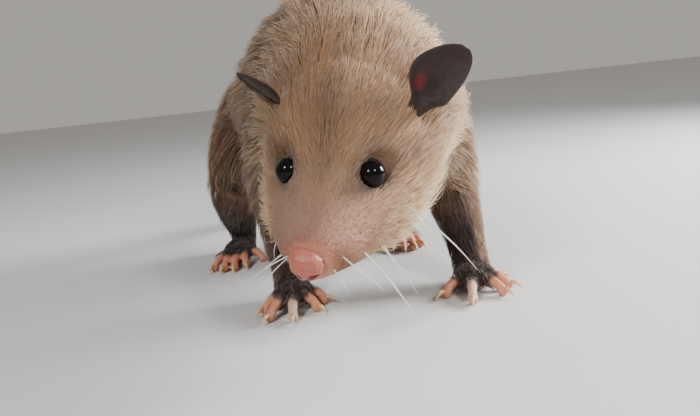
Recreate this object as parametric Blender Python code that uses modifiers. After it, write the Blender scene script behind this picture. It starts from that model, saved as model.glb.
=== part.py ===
"""Life-size Virginia opossum, standing on four feet with its head turned and lowered.

Metres, +Z up. The animal faces -Y, its left side is +X, and its soles rest on z = 0.
"""

import math
import random
import bmesh
import bpy
import numpy as np
from mathutils import Matrix, Vector

# Head: where the nose tip is and how the head is turned, lowered and tilted
NOSE_TIP = Vector((-0.0245, -0.198, 0.0550))
HEAD_YAW = math.radians(-23.0)
HEAD_PITCH = math.radians(40.0)
HEAD_ROLL = math.radians(8.0)

# Share of the coat's depth that the solid core leaves out
COAT_SHARE = 0.5

# Depth of the coat on the crown of the head against the cheeks
CROWN_SHARE = 0.3

# Eyes: each ball's radius, its place in the head and the lid's section
EYE_RADIUS = 0.0072
EYE_SIDE = 0.0210
EYE_BACK = 0.0552
EYE_UP = 0.0060
LID_OUT = 0.0066
LID_THICKNESS = 0.0016

# Locks of the coat: width, length and thickness of a full one, and how they vary
LOCK_WIDTH = 0.033
LOCK_LENGTH = 0.062
LOCK_THICKNESS = 0.0030
LOCK_SWEEP = 15.0
LOCK_TAPER = ((0.60, 0.80), (1.00, 1.00), (0.70, 0.75))
LOCK_SEED = 5

# Line of the mouth from its corner to the chin, as distance back and angle round the section, and its radius
MOUTH = ((0.052, -28), (0.044, -34), (0.036, -40), (0.028, -47), (0.020, -56), (0.012, -68))
MOUTH_RADIUS = 0.0010

# Space kept between neighbouring pieces
GAP = 0.0003

# Sizes of the remeshed flesh
VOXEL = 0.0024
FLESH_TRIANGLES = 2600
FACE_SHARE = 0.40
LEG_SHARE = 0.72
MERGE = 0.000005

# Head sections from the nose back: distance back, height of the widest level,
# half width, height above and depth below it, narrowing towards the top, coat depth
HEAD_SECTIONS = (
    (0.001, -0.001, 0.0085, 0.0070, 0.0080, 0.00, 0.000),
    (0.007, -0.002, 0.0140, 0.0110, 0.0130, 0.05, 0.000),
    (0.016, -0.006, 0.0205, 0.0180, 0.0150, 0.18, 0.001),
    (0.028, -0.011, 0.0285, 0.0260, 0.0175, 0.32, 0.0015),
    (0.041, -0.015, 0.0370, 0.0335, 0.0200, 0.43, 0.003),
    (0.054, -0.018, 0.0440, 0.0405, 0.0230, 0.47, 0.005),
    (0.068, -0.019, 0.0500, 0.0490, 0.0270, 0.44, 0.010),
    (0.082, -0.018, 0.0540, 0.0550, 0.0320, 0.38, 0.013),
    (0.097, -0.016, 0.0550, 0.0575, 0.0370, 0.30, 0.015),
    (0.112, -0.013, 0.0540, 0.0550, 0.0400, 0.22, 0.016),
)

# Body sections: centre, half width, height above, depth below, narrowing, coat depth
TRUNK = (
    ((0.0110, -0.110, 0.1230), 0.058, 0.052, 0.048, 0.12, 0.016),
    ((0.0120, -0.088, 0.1250), 0.066, 0.062, 0.054, 0.14, 0.018),
    ((0.0110, -0.058, 0.1270), 0.073, 0.070, 0.062, 0.18, 0.018),
    ((0.0050, -0.022, 0.1290), 0.078, 0.077, 0.068, 0.22, 0.018),
    ((-0.004, 0.0200, 0.1310), 0.076, 0.081, 0.072, 0.26, 0.018),
    ((-0.011, 0.0620, 0.1310), 0.073, 0.081, 0.070, 0.28, 0.018),
    ((-0.019, 0.1020, 0.1240), 0.069, 0.075, 0.062, 0.25, 0.018),
    ((-0.030, 0.1360, 0.1130), 0.058, 0.058, 0.046, 0.15, 0.016),
    ((-0.035, 0.1560, 0.1050), 0.036, 0.038, 0.030, 0.00, 0.012),
)

# Limbs: joint places with the limb's half width and half depth there, and coat depth
LIMBS = {
    "fore_left": (
        ((0.044, -0.058, 0.128), 0.032, 0.042, 0.012),
        ((0.059, -0.046, 0.094), 0.027, 0.033, 0.010),
        ((0.068, -0.042, 0.068), 0.0195, 0.024, 0.006),
        ((0.0735, -0.055, 0.042), 0.0140, 0.0160, 0.003),
        ((0.0755, -0.067, 0.021), 0.0110, 0.0115, 0.001),
        ((0.0755, -0.078, 0.0095), 0.0110, 0.0090, 0.000),
    ),
    "fore_right": (
        ((-0.026, -0.056, 0.124), 0.032, 0.042, 0.012),
        ((-0.040, -0.040, 0.094), 0.027, 0.033, 0.010),
        ((-0.048, -0.034, 0.068), 0.0185, 0.024, 0.006),
        ((-0.049, -0.046, 0.042), 0.0130, 0.0160, 0.003),
        ((-0.046, -0.060, 0.021), 0.0105, 0.0115, 0.001),
        ((-0.044, -0.071, 0.0095), 0.0110, 0.0090, 0.000),
    ),
    "hind_left": (
        ((0.016, 0.092, 0.118), 0.040, 0.052, 0.014),
        ((0.038, 0.062, 0.090), 0.032, 0.040, 0.012),
        ((0.048, 0.050, 0.068), 0.0225, 0.029, 0.008),
        ((0.047, 0.072, 0.046), 0.0150, 0.0190, 0.004),
        ((0.043, 0.097, 0.026), 0.0110, 0.0130, 0.001),
        ((0.0415, 0.1000, 0.0120), 0.0095, 0.0100, 0.000),
    ),
    "hind_right": (
        ((-0.060, 0.094, 0.118), 0.038, 0.052, 0.014),
        ((-0.077, 0.064, 0.090), 0.032, 0.040, 0.012),
        ((-0.089, 0.052, 0.066), 0.0225, 0.029, 0.008),
        ((-0.096, 0.072, 0.045), 0.0160, 0.0190, 0.004),
        ((-0.098, 0.094, 0.026), 0.0120, 0.0130, 0.001),
        ((-0.0975, 0.0980, 0.0120), 0.0095, 0.0100, 0.000),
    ),
    "sole_left": (
        ((0.0415, 0.1020, 0.0095), 0.0088, 0.0088, 0.000),
        ((0.0408, 0.0880, 0.0088), 0.0098, 0.0084, 0.000),
        ((0.0400, 0.0740, 0.0084), 0.0120, 0.0078, 0.000),
    ),
    "sole_right": (
        ((-0.0975, 0.1000, 0.0095), 0.0088, 0.0088, 0.000),
        ((-0.0978, 0.0860, 0.0088), 0.0098, 0.0084, 0.000),
        ((-0.0980, 0.0720, 0.0084), 0.0120, 0.0078, 0.000),
    ),
}

# Locks of the cheeks: distance back, size, lowest and highest angle round the section, and how many a side
CHEEK_LOCKS = (
    (0.058, 0.42, -62, 2, 3),
    (0.076, 0.64, -66, 30, 4),
)

CHEEK_FLARE = 0.35

# Rings of locks: place along the rows, size and how many round the ring
LOCK_RINGS = {
    "neck": ((1.9, 0.85, 11), (6.0, 1.0, 11)),
    "trunk": (
        (6.2, 1.05, 11), (10.6, 1.1, 11), (15.2, 1.1, 11),
        (19.8, 1.1, 11), (24.2, 1.0, 11), (28.0, 0.8, 8),
    ),
    "fore_left": ((3.6, 0.60, 4),),
    "fore_right": ((3.6, 0.60, 4),),
    "hind_left": ((3.8, 0.66, 4),),
    "hind_right": ((3.8, 0.66, 4),),
    "tail": ((3.0, 0.50, 5),),
}
EAR_CLEARANCE = 0.026

# Tail: centre line, radius and coat depth
TAIL = (
    ((-0.032, 0.126, 0.1140), 0.0300, 0.012),
    ((-0.038, 0.160, 0.1030), 0.0200, 0.007),
    ((-0.044, 0.204, 0.0700), 0.0128, 0.001),
    ((-0.046, 0.244, 0.0300), 0.0106, 0.000),
    ((-0.045, 0.280, 0.0080), 0.0094, 0.000),
    ((-0.047, 0.316, 0.0072), 0.0084, 0.000),
    ((-0.058, 0.350, 0.0062), 0.0074, 0.000),
    ((-0.078, 0.378, 0.0052), 0.0064, 0.000),
    ((-0.104, 0.394, 0.0042), 0.0053, 0.000),
    ((-0.130, 0.400, 0.0034), 0.0042, 0.000),
)

# Paws: centre and radii of the palm, then each digit's root, knuckle height and claw tip
PAWS = {
    "fore_left": (
        ((0.0745, -0.086, 0.0085), (0.0125, 0.0120, 0.0091)),
        (
            ("digit_1", (0.0670, -0.090), (0.0467, -0.1048)),
            ("digit_2", (0.0720, -0.095), (0.0664, -0.1260)),
            ("digit_3", (0.0790, -0.094), (0.0945, -0.1143)),
            ("digit_4", (0.0820, -0.089), (0.1036, -0.0982)),
            ("digit_5", (0.0820, -0.083), (0.1012, -0.0720)),
        ),
    ),
    "fore_right": (
        ((-0.0430, -0.080, 0.0085), (0.0125, 0.0120, 0.0091)),
        (
            ("digit_1", (-0.0500, -0.082), (-0.0674, -0.1006)),
            ("digit_2", (-0.0475, -0.087), (-0.0608, -0.1160)),
            ("digit_3", (-0.0425, -0.090), (-0.0420, -0.1222)),
            ("digit_4", (-0.0370, -0.087), (-0.0218, -0.1056)),
            ("digit_5", (-0.0350, -0.081), (-0.0141, -0.0850)),
        ),
    ),
    "hind_left": (
        ((0.0400, 0.071, 0.0080), (0.0130, 0.0200, 0.0086)),
        (
            ("digit_1", (0.0310, 0.065), (0.0160, 0.0520)),
            ("digit_2", (0.0350, 0.057), (0.0310, 0.0290)),
            ("digit_3", (0.0395, 0.055), (0.0405, 0.0230)),
            ("digit_4", (0.0440, 0.056), (0.0500, 0.0230)),
            ("digit_5", (0.0480, 0.060), (0.0580, 0.0320)),
        ),
    ),
    "hind_right": (
        ((-0.0980, 0.068, 0.0080), (0.0130, 0.0200, 0.0086)),
        (
            ("digit_1", (-0.0890, 0.062), (-0.0750, 0.0480)),
            ("digit_2", (-0.0930, 0.054), (-0.0880, 0.0270)),
            ("digit_3", (-0.0980, 0.052), (-0.0985, 0.0200)),
            ("digit_4", (-0.1020, 0.053), (-0.1090, 0.0200)),
            ("digit_5", (-0.1060, 0.058), (-0.1190, 0.0260)),
        ),
    ),
}
DIGIT_RADIUS = 0.0036
PAD_RADIUS = 0.0036
KNUCKLE_HEIGHT = 0.0082
CLAW_LENGTH = 0.0062
CLAW_RADIUS = 0.0015

# Ears: rows from the root to the tip as (along, leftmost, rightmost) in millimetres,
# then for each its notch, the ways to its tip and out of its cup, its hand and how far its root sinks
EAR_ROWS = (
    (-9.0, -9.5, 6.5),
    (-4.0, -9.2, 6.4),
    (0.5, -9.6, 6.8),
    (3.5, -12.5, 9.0),
    (8.0, -15.8, 10.2),
    (13.0, -17.0, 10.8),
    (18.5, -16.2, 11.2),
    (24.0, -13.0, 10.8),
    (29.0, -9.0, 9.6),
    (32.5, -4.5, 7.6),
    (34.8, 0.0, 4.8),
)
EAR_COLUMNS = 6
EAR_THICKNESS = 0.0012
EAR_CUP = 0.0064
EAR_CURL = 0.0020
EAR_ROOT_START = 3.5
EARS = {
    "ear_left": (
        Vector((0.0455, -0.1570, 0.1260)), Vector((0.62, 0.10, 0.77)),
        Vector((0.02, -0.98, 0.12)), 1.0, Vector((-0.0070, 0.0095, -0.0060)),
    ),
    "ear_right": (
        Vector((-0.0375, -0.1300, 0.1345)), Vector((-0.500, 0.800, 0.460)),
        Vector((-0.720, -0.133, -0.680)), -1.0, Vector((0.0128, 0.0050, -0.0062)),
    ),
}


def clear_scene():
    for old in list(bpy.data.objects):
        bpy.data.objects.remove(old)


def smooth_rows(rows, steps):
    """Rows of numbers with a Catmull-Rom curve run through them, steps new rows to each old one."""
    rows = np.array(rows, float)
    padded = np.vstack([2 * rows[0] - rows[1], rows, 2 * rows[-1] - rows[-2]])
    out = []
    for i in range(len(rows) - 1):
        p0, p1, p2, p3 = padded[i:i + 4]
        for k in range(steps):
            t = k / steps
            line = 2 * p1 + (p2 - p0) * t
            bend = (2 * p0 - 5 * p1 + 4 * p2 - p3) * t * t
            twist = (3 * p1 - p0 - 3 * p2 + p3) * t ** 3
            out.append(0.5 * (line + bend + twist))
    out.append(rows[-1])
    return np.array(out)


def new_object(name, mesh):
    """An object of a bmesh, which is freed."""
    bmesh.ops.recalc_face_normals(mesh, faces=mesh.faces)
    data = bpy.data.meshes.new(name)
    mesh.to_mesh(data)
    mesh.free()
    obj = bpy.data.objects.new(name, data)
    bpy.context.scene.collection.objects.link(obj)
    return obj


def loft(name, rows, side_hint, sides=24, dome=0.6, turns=(30, 60)):
    """A closed body through rows of (x, y, z, half width, above, below, narrowing), with rounded ends."""
    rows = np.array(rows, float)
    centres = rows[:, :3]
    tangents = np.gradient(centres, axis=0)
    tangents /= np.linalg.norm(tangents, axis=1)[:, None]
    mesh = bmesh.new()

    def ring(i, shift, scale):
        width, above, below = rows[i, 3:6] * scale
        tangent = tangents[i]
        side = np.array(side_hint, float)
        side -= tangent * (side @ tangent)
        side /= np.linalg.norm(side)
        rise = np.cross(side, tangent)
        if rise[2] < -0.2:
            rise = -rise
        found = []
        for k in range(sides):
            angle = 2 * math.pi * k / sides
            c, s = math.cos(angle), math.sin(angle)
            reach = width * c * (1 - rows[i, 6] * max(0.0, s))
            height = (above if s > 0 else below) * s
            found.append(mesh.verts.new(centres[i] + shift + side * reach + rise * height))
        return found

    def end(i, sign):
        reach = dome * min(rows[i, 3:6])
        loops = []
        for turn in turns:
            angle = math.radians(turn)
            loops.append(ring(i, sign * tangents[i] * reach * math.sin(angle), math.cos(angle)))
        return loops, mesh.verts.new(centres[i] + sign * tangents[i] * reach)

    first, first_tip = end(0, -1)
    last, last_tip = end(len(rows) - 1, 1)
    loops = first[::-1] + [ring(i, 0, 1) for i in range(len(rows))] + last
    for a, b in zip(loops, loops[1:]):
        for k in range(sides):
            mesh.faces.new((a[k], a[(k + 1) % sides], b[(k + 1) % sides], b[k]))
    for k in range(sides):
        mesh.faces.new((loops[0][(k + 1) % sides], loops[0][k], first_tip))
        mesh.faces.new((loops[-1][k], loops[-1][(k + 1) % sides], last_tip))
    return new_object(name, mesh)


def core_rows(rows, share, crown=1.0):
    """Rows at the tips of the coat, whose last column is the coat's depth, drawn in by a share of it.

    The crown is how deep the coat is on top against the sides.
    """
    rows = np.array(rows, float)
    drawn = rows[:, :7].copy()
    drawn[:, 3:6] -= share * rows[:, 7:8]
    drawn[:, 4] += share * (1 - crown) * rows[:, 7]
    return drawn


def head_frame():
    """The head's own axes in the world: x to its left, y back along the skull, z out of its crown."""
    turn = Matrix.Rotation(HEAD_YAW, 4, "Z")
    turn = turn @ Matrix.Rotation(HEAD_PITCH, 4, "X")
    turn = turn @ Matrix.Rotation(HEAD_ROLL, 4, "Y")
    return Matrix.Translation(NOSE_TIP) @ turn


def head_rows():
    rows = []
    for back, level, width, above, below, narrow, coat in HEAD_SECTIONS:
        rows.append((0.0, back, level, width, above, below, narrow, coat))
    return smooth_rows(rows, 3)


def trunk_rows():
    rows = [(*centre, w, up, down, narrow, coat) for centre, w, up, down, narrow, coat in TRUNK]
    return smooth_rows(rows, 4)


def neck_rows():
    """From inside the back of the skull to inside the shoulders."""
    frame = head_frame()
    rows = [
        (*(frame @ Vector((0, 0.086, -0.008))), 0.048, 0.044, 0.040, 0.2, 0.010),
        (*(frame @ Vector((0, 0.112, -0.010))), 0.057, 0.053, 0.046, 0.2, 0.015),
        (0.0115, -0.098, 0.124, 0.063, 0.059, 0.053, 0.15, 0.017),
        (0.0110, -0.060, 0.127, 0.066, 0.064, 0.056, 0.15, 0.018),
    ]
    return smooth_rows(rows, 4)


def limb_rows(name):
    return smooth_rows([(*centre, w, d, d, 0.0, coat) for centre, w, d, coat in LIMBS[name]], 4)


def tail_rows():
    return smooth_rows([(*centre, r, r, r, 0.0, coat) for centre, r, coat in TAIL], 5)


def head_body():
    head = loft("head", core_rows(head_rows(), COAT_SHARE, CROWN_SHARE), (1, 0, 0), sides=32)
    head.data.transform(head_frame())
    return head


def coat_body(name, rows, sides):
    return loft(name, core_rows(rows, COAT_SHARE), (1, 0, 0), sides=sides)


def row_place(rows, at, angle, share, frame=None):
    """A point of the coat, drawn in by a share of its depth, with the directions along the rows and out."""
    rows = np.asarray(rows, float)
    i = min(max(at, 0.0), len(rows) - 1.001)
    low = int(i)
    mix = i - low
    row = rows[low] * (1 - mix) + rows[low + 1] * mix
    ahead = rows[min(low + 2, len(rows) - 1), :3] - rows[max(low - 1, 0), :3]
    tangent = ahead / np.linalg.norm(ahead)
    side = np.array((1.0, 0.0, 0.0))
    side -= tangent * (side @ tangent)
    side /= np.linalg.norm(side)
    rise = np.cross(side, tangent)
    if rise[2] < -0.2:
        rise = -rise
    width, above, below = row[3:6] - share * row[7]
    if frame:
        above += share * (1 - CROWN_SHARE) * row[7]
    c, s = math.cos(math.radians(angle)), math.sin(math.radians(angle))
    reach = width * c * (1 - row[6] * max(0.0, s))
    height = (above if s > 0 else below) * s
    point = Vector(row[:3] + side * reach + rise * height)
    out = Vector(side * (c / width) + rise * (s / (above if s > 0 else below))).normalized()
    along = Vector(tangent)
    if frame:
        turn = frame.to_3x3()
        return frame @ point, turn @ along, turn @ out
    return point, along, out


def lock(path, outs, width, thickness):
    """A flat tapered lock through its path's points, with a low ridge turned out of the coat."""
    mesh = bmesh.new()
    loops = []
    for k, (wide, thick) in enumerate(LOCK_TAPER):
        along = (path[k + 1] - path[max(k - 1, 0)]).normalized()
        out = (outs[k] - along * outs[k].dot(along)).normalized()
        side = along.cross(out) * (width * wide / 2)
        ridge = out * (thickness * thick)
        loops.append([mesh.verts.new(point) for point in (path[k] + side, path[k] + ridge, path[k] - side)])
    tip = mesh.verts.new(path[3])
    for a, b in zip(loops, loops[1:]):
        for k in range(3):
            mesh.faces.new((a[k], a[(k + 1) % 3], b[(k + 1) % 3], b[k]))
    for k in range(3):
        mesh.faces.new((loops[-1][k], loops[-1][(k + 1) % 3], tip))
    mesh.faces.new(loops[0][::-1])
    return new_object("lock", mesh)


def lock_on(rows, at, angle, draw, size=1.0, frame=None, flare=0.0):
    """A lock rooted in the core, lying along the rows out to the tips of the coat."""
    rows = np.asarray(rows, float)
    steps = np.linalg.norm(np.diff(rows[:, :3], axis=0), axis=1)
    length = LOCK_LENGTH * size * draw.uniform(0.88, 1.12)
    sweep = draw.uniform(-6, 6) - LOCK_SWEEP * math.cos(math.radians(angle))
    path, outs = [], []
    for part, depth in ((0.0, 1.0), (0.36, 0.42), (0.72, 0.16), (1.0, draw.uniform(-0.05, 0.10) - flare)):
        place, left = at, part * length
        while left > 1e-6 and place < len(rows) - 1.01:
            step = steps[int(place)]
            go = min(left / step, math.floor(place) + 1 - place) + 1e-6
            place += go
            left -= go * step
        point, along, out = row_place(rows, place, angle + sweep * part, depth, frame)
        path.append(point + along * max(left, 0.0))
        outs.append(out)
    width = LOCK_WIDTH * size ** 0.7 * draw.uniform(0.88, 1.10)
    return lock(path, outs, width, LOCK_THICKNESS * (0.6 + 0.4 * size))


def select_only(*objects):
    bpy.ops.object.select_all(action="DESELECT")
    for obj in objects:
        obj.select_set(True)
    bpy.context.view_layer.objects.active = objects[0]


def apply_modifiers(obj):
    select_only(obj)
    for modifier in list(obj.modifiers):
        bpy.ops.object.modifier_apply(modifier=modifier.name)


def thinned(body, ratio):
    """Fewer triangles, kept most on the face and next on paws, legs and tail."""
    to_head = head_frame().inverted()
    coarse = body.vertex_groups.new(name="coarse")
    for vertex in body.data.vertices:
        in_face = (to_head @ vertex.co).y < 0.080
        in_leg = vertex.co.z < 0.062 or vertex.co.y > 0.18
        coarse.add([vertex.index], FACE_SHARE if in_face else LEG_SHARE if in_leg else 1.0, "REPLACE")
    decimate = body.modifiers.new("Decimate", "DECIMATE")
    decimate.ratio = ratio
    decimate.vertex_group = "coarse"
    decimate.vertex_group_factor = 1.0
    apply_modifiers(body)
    body.vertex_groups.clear()


def remeshed(objects, name):
    """The objects as one smooth closed surface of few triangles."""
    select_only(*objects)
    bpy.ops.object.join()
    body = bpy.context.object
    body.name = name
    remesh = body.modifiers.new("Remesh", "REMESH")
    remesh.mode = "VOXEL"
    remesh.voxel_size = VOXEL
    smooth = body.modifiers.new("Smooth", "SMOOTH")
    smooth.factor = 0.5
    smooth.iterations = 4
    apply_modifiers(body)
    body.data.calc_loop_triangles()
    thinned(body, min(1.0, FLESH_TRIANGLES / len(body.data.loop_triangles)))
    return body


def boolean(target, tool, operation, solver="MANIFOLD"):
    """The target joined with, cut by or kept inside the tool, which is removed."""
    modifier = target.modifiers.new("Boolean", "BOOLEAN")
    modifier.operation = operation
    modifier.solver = solver
    modifier.object = tool
    apply_modifiers(target)
    bpy.data.objects.remove(tool)
    return target


def union_of(objects, solver="MANIFOLD"):
    """All the objects in one Boolean union with the first."""
    first, rest = objects[0], objects[1:]
    if not rest:
        return first
    group = bpy.data.collections.new("joined")
    bpy.context.scene.collection.children.link(group)
    for obj in rest:
        group.objects.link(obj)
    modifier = first.modifiers.new("Union", "BOOLEAN")
    modifier.operation = "UNION"
    modifier.solver = solver
    modifier.operand_type = "COLLECTION"
    modifier.collection = group
    apply_modifiers(first)
    for obj in rest:
        bpy.data.objects.remove(obj)
    bpy.data.collections.remove(group)
    return first


def copy_of(obj, name):
    new = obj.copy()
    new.data = obj.data.copy()
    new.name = name
    bpy.context.scene.collection.objects.link(new)
    return new


def keep_largest(obj):
    """Only the largest closed surface of the object."""
    mesh = bmesh.new()
    mesh.from_mesh(obj.data)
    mesh.faces.ensure_lookup_table()
    seen = set()
    parts = []
    for face in mesh.faces:
        if face.index in seen:
            continue
        part, queue = [], [face]
        seen.add(face.index)
        while queue:
            current = queue.pop()
            part.append(current)
            for edge in current.edges:
                for other in edge.link_faces:
                    if other.index not in seen:
                        seen.add(other.index)
                        queue.append(other)
        parts.append(part)
    parts.sort(key=lambda part: sum(face.calc_area() for face in part))
    loose = [face for part in parts[:-1] for face in part]
    bmesh.ops.delete(mesh, geom=loose, context="FACES")
    bmesh.ops.delete(mesh, geom=[v for v in mesh.verts if not v.link_faces], context="VERTS")
    mesh.to_mesh(obj.data)
    mesh.free()


def cleaned(obj):
    """Slivers left by Booleans merged away, unless that would open the surface."""
    mesh = bmesh.new()
    mesh.from_mesh(obj.data)
    bmesh.ops.triangulate(mesh, faces=mesh.faces)
    bmesh.ops.remove_doubles(mesh, verts=mesh.verts, dist=MERGE)
    bmesh.ops.dissolve_degenerate(mesh, edges=mesh.edges, dist=MERGE)
    bmesh.ops.triangulate(mesh, faces=mesh.faces)
    closed = all(len(edge.link_faces) == 2 for edge in mesh.edges)
    if closed:
        mesh.to_mesh(obj.data)
    mesh.free()
    return closed


def block(name, centre, axes, sizes):
    """A box with its own axes (two directions, the third follows) and half sizes."""
    first = Vector(axes[0]).normalized()
    second = (Vector(axes[1]) - first * first.dot(Vector(axes[1]))).normalized()
    third = first.cross(second)
    turn = Matrix((first, second, third)).transposed().to_4x4()
    bpy.ops.mesh.primitive_cube_add(size=2)
    box = bpy.context.object
    box.name = name
    box.data.transform(Matrix.Translation(Vector(centre)) @ turn @ Matrix.Diagonal((*sizes, 1)))
    return box


def split(body, name, tool, grown_tool):
    """Takes from the body what lies in the tool, as a new piece, and leaves what the grown tool spares."""
    piece = copy_of(body, name)
    boolean(piece, tool, "INTERSECT")
    keep_largest(piece)
    boolean(body, grown_tool, "DIFFERENCE")
    keep_largest(body)
    return piece


def part_off(body, name, point, direction, sizes):
    """Cuts from the body what lies past the point in the direction, inside a box."""
    direction = Vector(direction).normalized()
    side = Vector((1, 0, 0)) if abs(direction.x) < 0.8 else Vector((0, 1, 0))
    centre = Vector(point) + direction * sizes[0]
    boxes = [block("cut", centre, (direction, side), [size + grow for size in sizes]) for grow in (0, GAP)]
    return split(body, name, *boxes)


def part_behind(body, name, rows, at):
    """Cuts from the body what lies behind a place on the rows, under the locks that hang over the cut."""
    steps = np.linalg.norm(np.diff(rows[:, :3], axis=0), axis=1)
    places = np.concatenate([[0], np.cumsum(steps)])
    begin = np.interp(at, np.arange(len(rows)), places)
    travelled = np.linspace(0, OVERHANG, 5)
    line = np.array([[np.interp(begin + t, places, column) for column in rows.T] for t in travelled])
    share = travelled[:, None] / OVERHANG
    line[:, :3] = line[0, :3] * (1 - share) + line[-1, :3] * share
    ahead = (line[-1, :3] - line[0, :3]) / np.linalg.norm(line[-1, :3] - line[0, :3])
    line[:, 3:6] -= OVERHANG_DEPTH * (1 - 2 * share) * line[:, 7:8]
    tools = []
    for grow in (0, GAP):
        tool = line[:, :7].copy()
        tool[:, 3:6] += grow
        tool[:, :3] -= grow * ahead
        flange, far = tool[-1].copy(), tool[-1].copy()
        for row, reach in ((flange, FLANGE), (far, BEHIND)):
            row[:3] += ahead * reach
            row[3:6] += BEHIND
        tools.append(loft("cut", np.vstack([tool, flange, far]), (1, 0, 0), sides=24, dome=0.001, turns=()))
    return split(body, name, *tools)


def tube(name, points, radii, sides=8, dome=0.9, steps=3, turns=(45,)):
    rows = [(*p, r, r, r, 0.0) for p, r in zip(points, radii)]
    direction = Vector(points[-1]) - Vector(points[0])
    hint = (0, 0, 1) if abs(direction.z) < 0.5 * direction.length else (1, 0, 0)
    return loft(name, smooth_rows(rows, steps), hint, sides=sides, dome=dome, turns=turns)


def digit_parts(paw, digit, root, tip):
    """A digit from its root to where its claw starts, and the claw; the hind thumb has none."""
    root = Vector((*root, 0.0085))
    reach = Vector((*tip, 0.0)) - Vector((root.x, root.y, 0.0))
    along = reach.normalized()
    thumb = paw.startswith("hind") and digit == "digit_1"
    length = reach.length - (0.0 if thumb else CLAW_LENGTH)
    knuckle = root + along * length * 0.42
    knuckle.z = KNUCKLE_HEIGHT
    pad = root + along * (length - PAD_RADIUS)
    pad.z = PAD_RADIUS * 0.85
    radii = (DIGIT_RADIUS * 1.1, DIGIT_RADIUS * 0.92, PAD_RADIUS)
    body = tube(digit, (root, knuckle, pad), radii, sides=6, dome=1.0, steps=2)
    if thumb:
        return body, None
    start = pad + along * (PAD_RADIUS * 0.35) + Vector((0, 0, PAD_RADIUS * 0.40))
    middle = start + along * CLAW_LENGTH * 0.72 + Vector((0, 0, -0.0003))
    point = pad + along * (PAD_RADIUS + CLAW_LENGTH)
    point.z = 0.0016
    line = (start, middle, point)
    name = f"claw_{paw}_{digit[-1]}"
    claw = tube(name, line, (CLAW_RADIUS * 1.15, CLAW_RADIUS, 0.0005), sides=6, dome=0.6, steps=1, turns=())
    seat_radii = (CLAW_RADIUS * 1.15 + GAP, CLAW_RADIUS + GAP, 0.0005 + GAP)
    seat_line = (start - along * GAP, middle, point + along * GAP)
    seat = tube("seat", seat_line, seat_radii, sides=6, dome=0.6, steps=1, turns=())
    boolean(body, seat, "DIFFERENCE")
    return body, claw


def paw_parts(paw):
    """The palm and digits of a paw as one body, and its claws."""
    centre, radii = PAWS[paw][0]
    bpy.ops.mesh.primitive_uv_sphere_add(segments=12, ring_count=6, radius=1)
    palm = bpy.context.object
    palm.data.transform(Matrix.Translation(Vector(centre)) @ Matrix.Diagonal((*radii, 1)))
    bodies, claws = [palm], []
    for digit, root, tip in PAWS[paw][1]:
        body, claw = digit_parts(paw, digit, root, tip)
        bodies.append(body)
        if claw:
            claws.append(claw)
    return union_of(bodies), claws


def ear_body(name, body):
    """A thin cupped ear that stops just short of the head."""
    base, along, face, hand, root = EARS[name]
    along = along.normalized()
    face = (face - along * face.dot(along)).normalized()
    across = along.cross(face) * hand
    mesh = bmesh.new()
    grid = []
    rows = smooth_rows(EAR_ROWS, 1)
    for v, left, right in rows:
        share = max(0.0, v / rows[-1][0])
        sunk = max(0.0, (EAR_ROOT_START - v) / (EAR_ROOT_START - rows[0][0])) ** 1.5
        depth = EAR_CUP * (1 - 0.72 * share) * min(1.0, (right - left) / 20)
        line = []
        for k in range(EAR_COLUMNS + 1):
            t = left + (right - left) * k / EAR_COLUMNS
            bow = 1 - (2 * k / EAR_COLUMNS - 1) ** 2
            point = base + along * (v * 0.001) + across * (t * 0.001) - face * (depth * bow)
            line.append(mesh.verts.new(point + face * (EAR_CURL * share * share) + root * sunk))
        grid.append(line)
    for a, b in zip(grid, grid[1:]):
        for k in range(EAR_COLUMNS):
            mesh.faces.new((a[k], a[k + 1], b[k + 1], b[k]))
    ear = new_object(name, mesh)
    shell = ear.modifiers.new("Solidify", "SOLIDIFY")
    shell.thickness = EAR_THICKNESS
    shell.offset = 0.0
    apply_modifiers(ear)
    seat = copy_of(body, "seat")
    swell = seat.modifiers.new("Displace", "DISPLACE")
    swell.strength = GAP
    swell.mid_level = 0.0
    apply_modifiers(seat)
    boolean(ear, seat, "DIFFERENCE")
    keep_largest(ear)
    return ear


def head_point(side, back, up):
    return head_frame() @ Vector((side, back, up))


def eye_ball(side, radius, name):
    bpy.ops.mesh.primitive_uv_sphere_add(segments=14, ring_count=7, radius=radius)
    ball = bpy.context.object
    ball.name = name
    ball.data.transform(Matrix.Translation(head_point(side * EYE_SIDE, EYE_BACK, EYE_UP)))
    return ball


def lid_ring(side):
    """The rims of both lids, a ring lying on the ball and facing out of the socket."""
    facing = Vector((side * 0.66, -0.30, 0.69)).normalized()
    bpy.ops.mesh.primitive_torus_add(
        major_radius=LID_OUT, minor_radius=LID_THICKNESS, major_segments=18, minor_segments=6)
    ring = bpy.context.object
    turn = Vector((0, 0, 1)).rotation_difference(facing).to_matrix().to_4x4()
    place = Matrix.Translation(Vector((side * EYE_SIDE, EYE_BACK, EYE_UP)) + facing * 0.0034)
    ring.data.transform(head_frame() @ place @ turn @ Matrix.Diagonal((1.0, 1.0, 0.9, 1.0)))
    return ring


def skin_point(back, angle):
    """A point on the head's core at an angle round the section: 0 is the left side, 90 the top."""
    rows = head_rows()
    at = np.interp(back, rows[:, 1], np.arange(len(rows)))
    return row_place(rows, at, angle, COAT_SHARE, head_frame())[0]


def mouth_groove(body):
    """The closed mouth: one groove on the skin from the left corner round the chin to the right corner."""
    left = [skin_point(back, angle) for back, angle in MOUTH]
    right = [skin_point(back, 180 - angle) for back, angle in MOUTH[::-1]]
    points = [body.closest_point_on_mesh(point)[1] for point in left + [skin_point(0.0085, -90)] + right]
    return tube("mouth", points, [MOUTH_RADIUS] * len(points), sides=5, steps=1)


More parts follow.
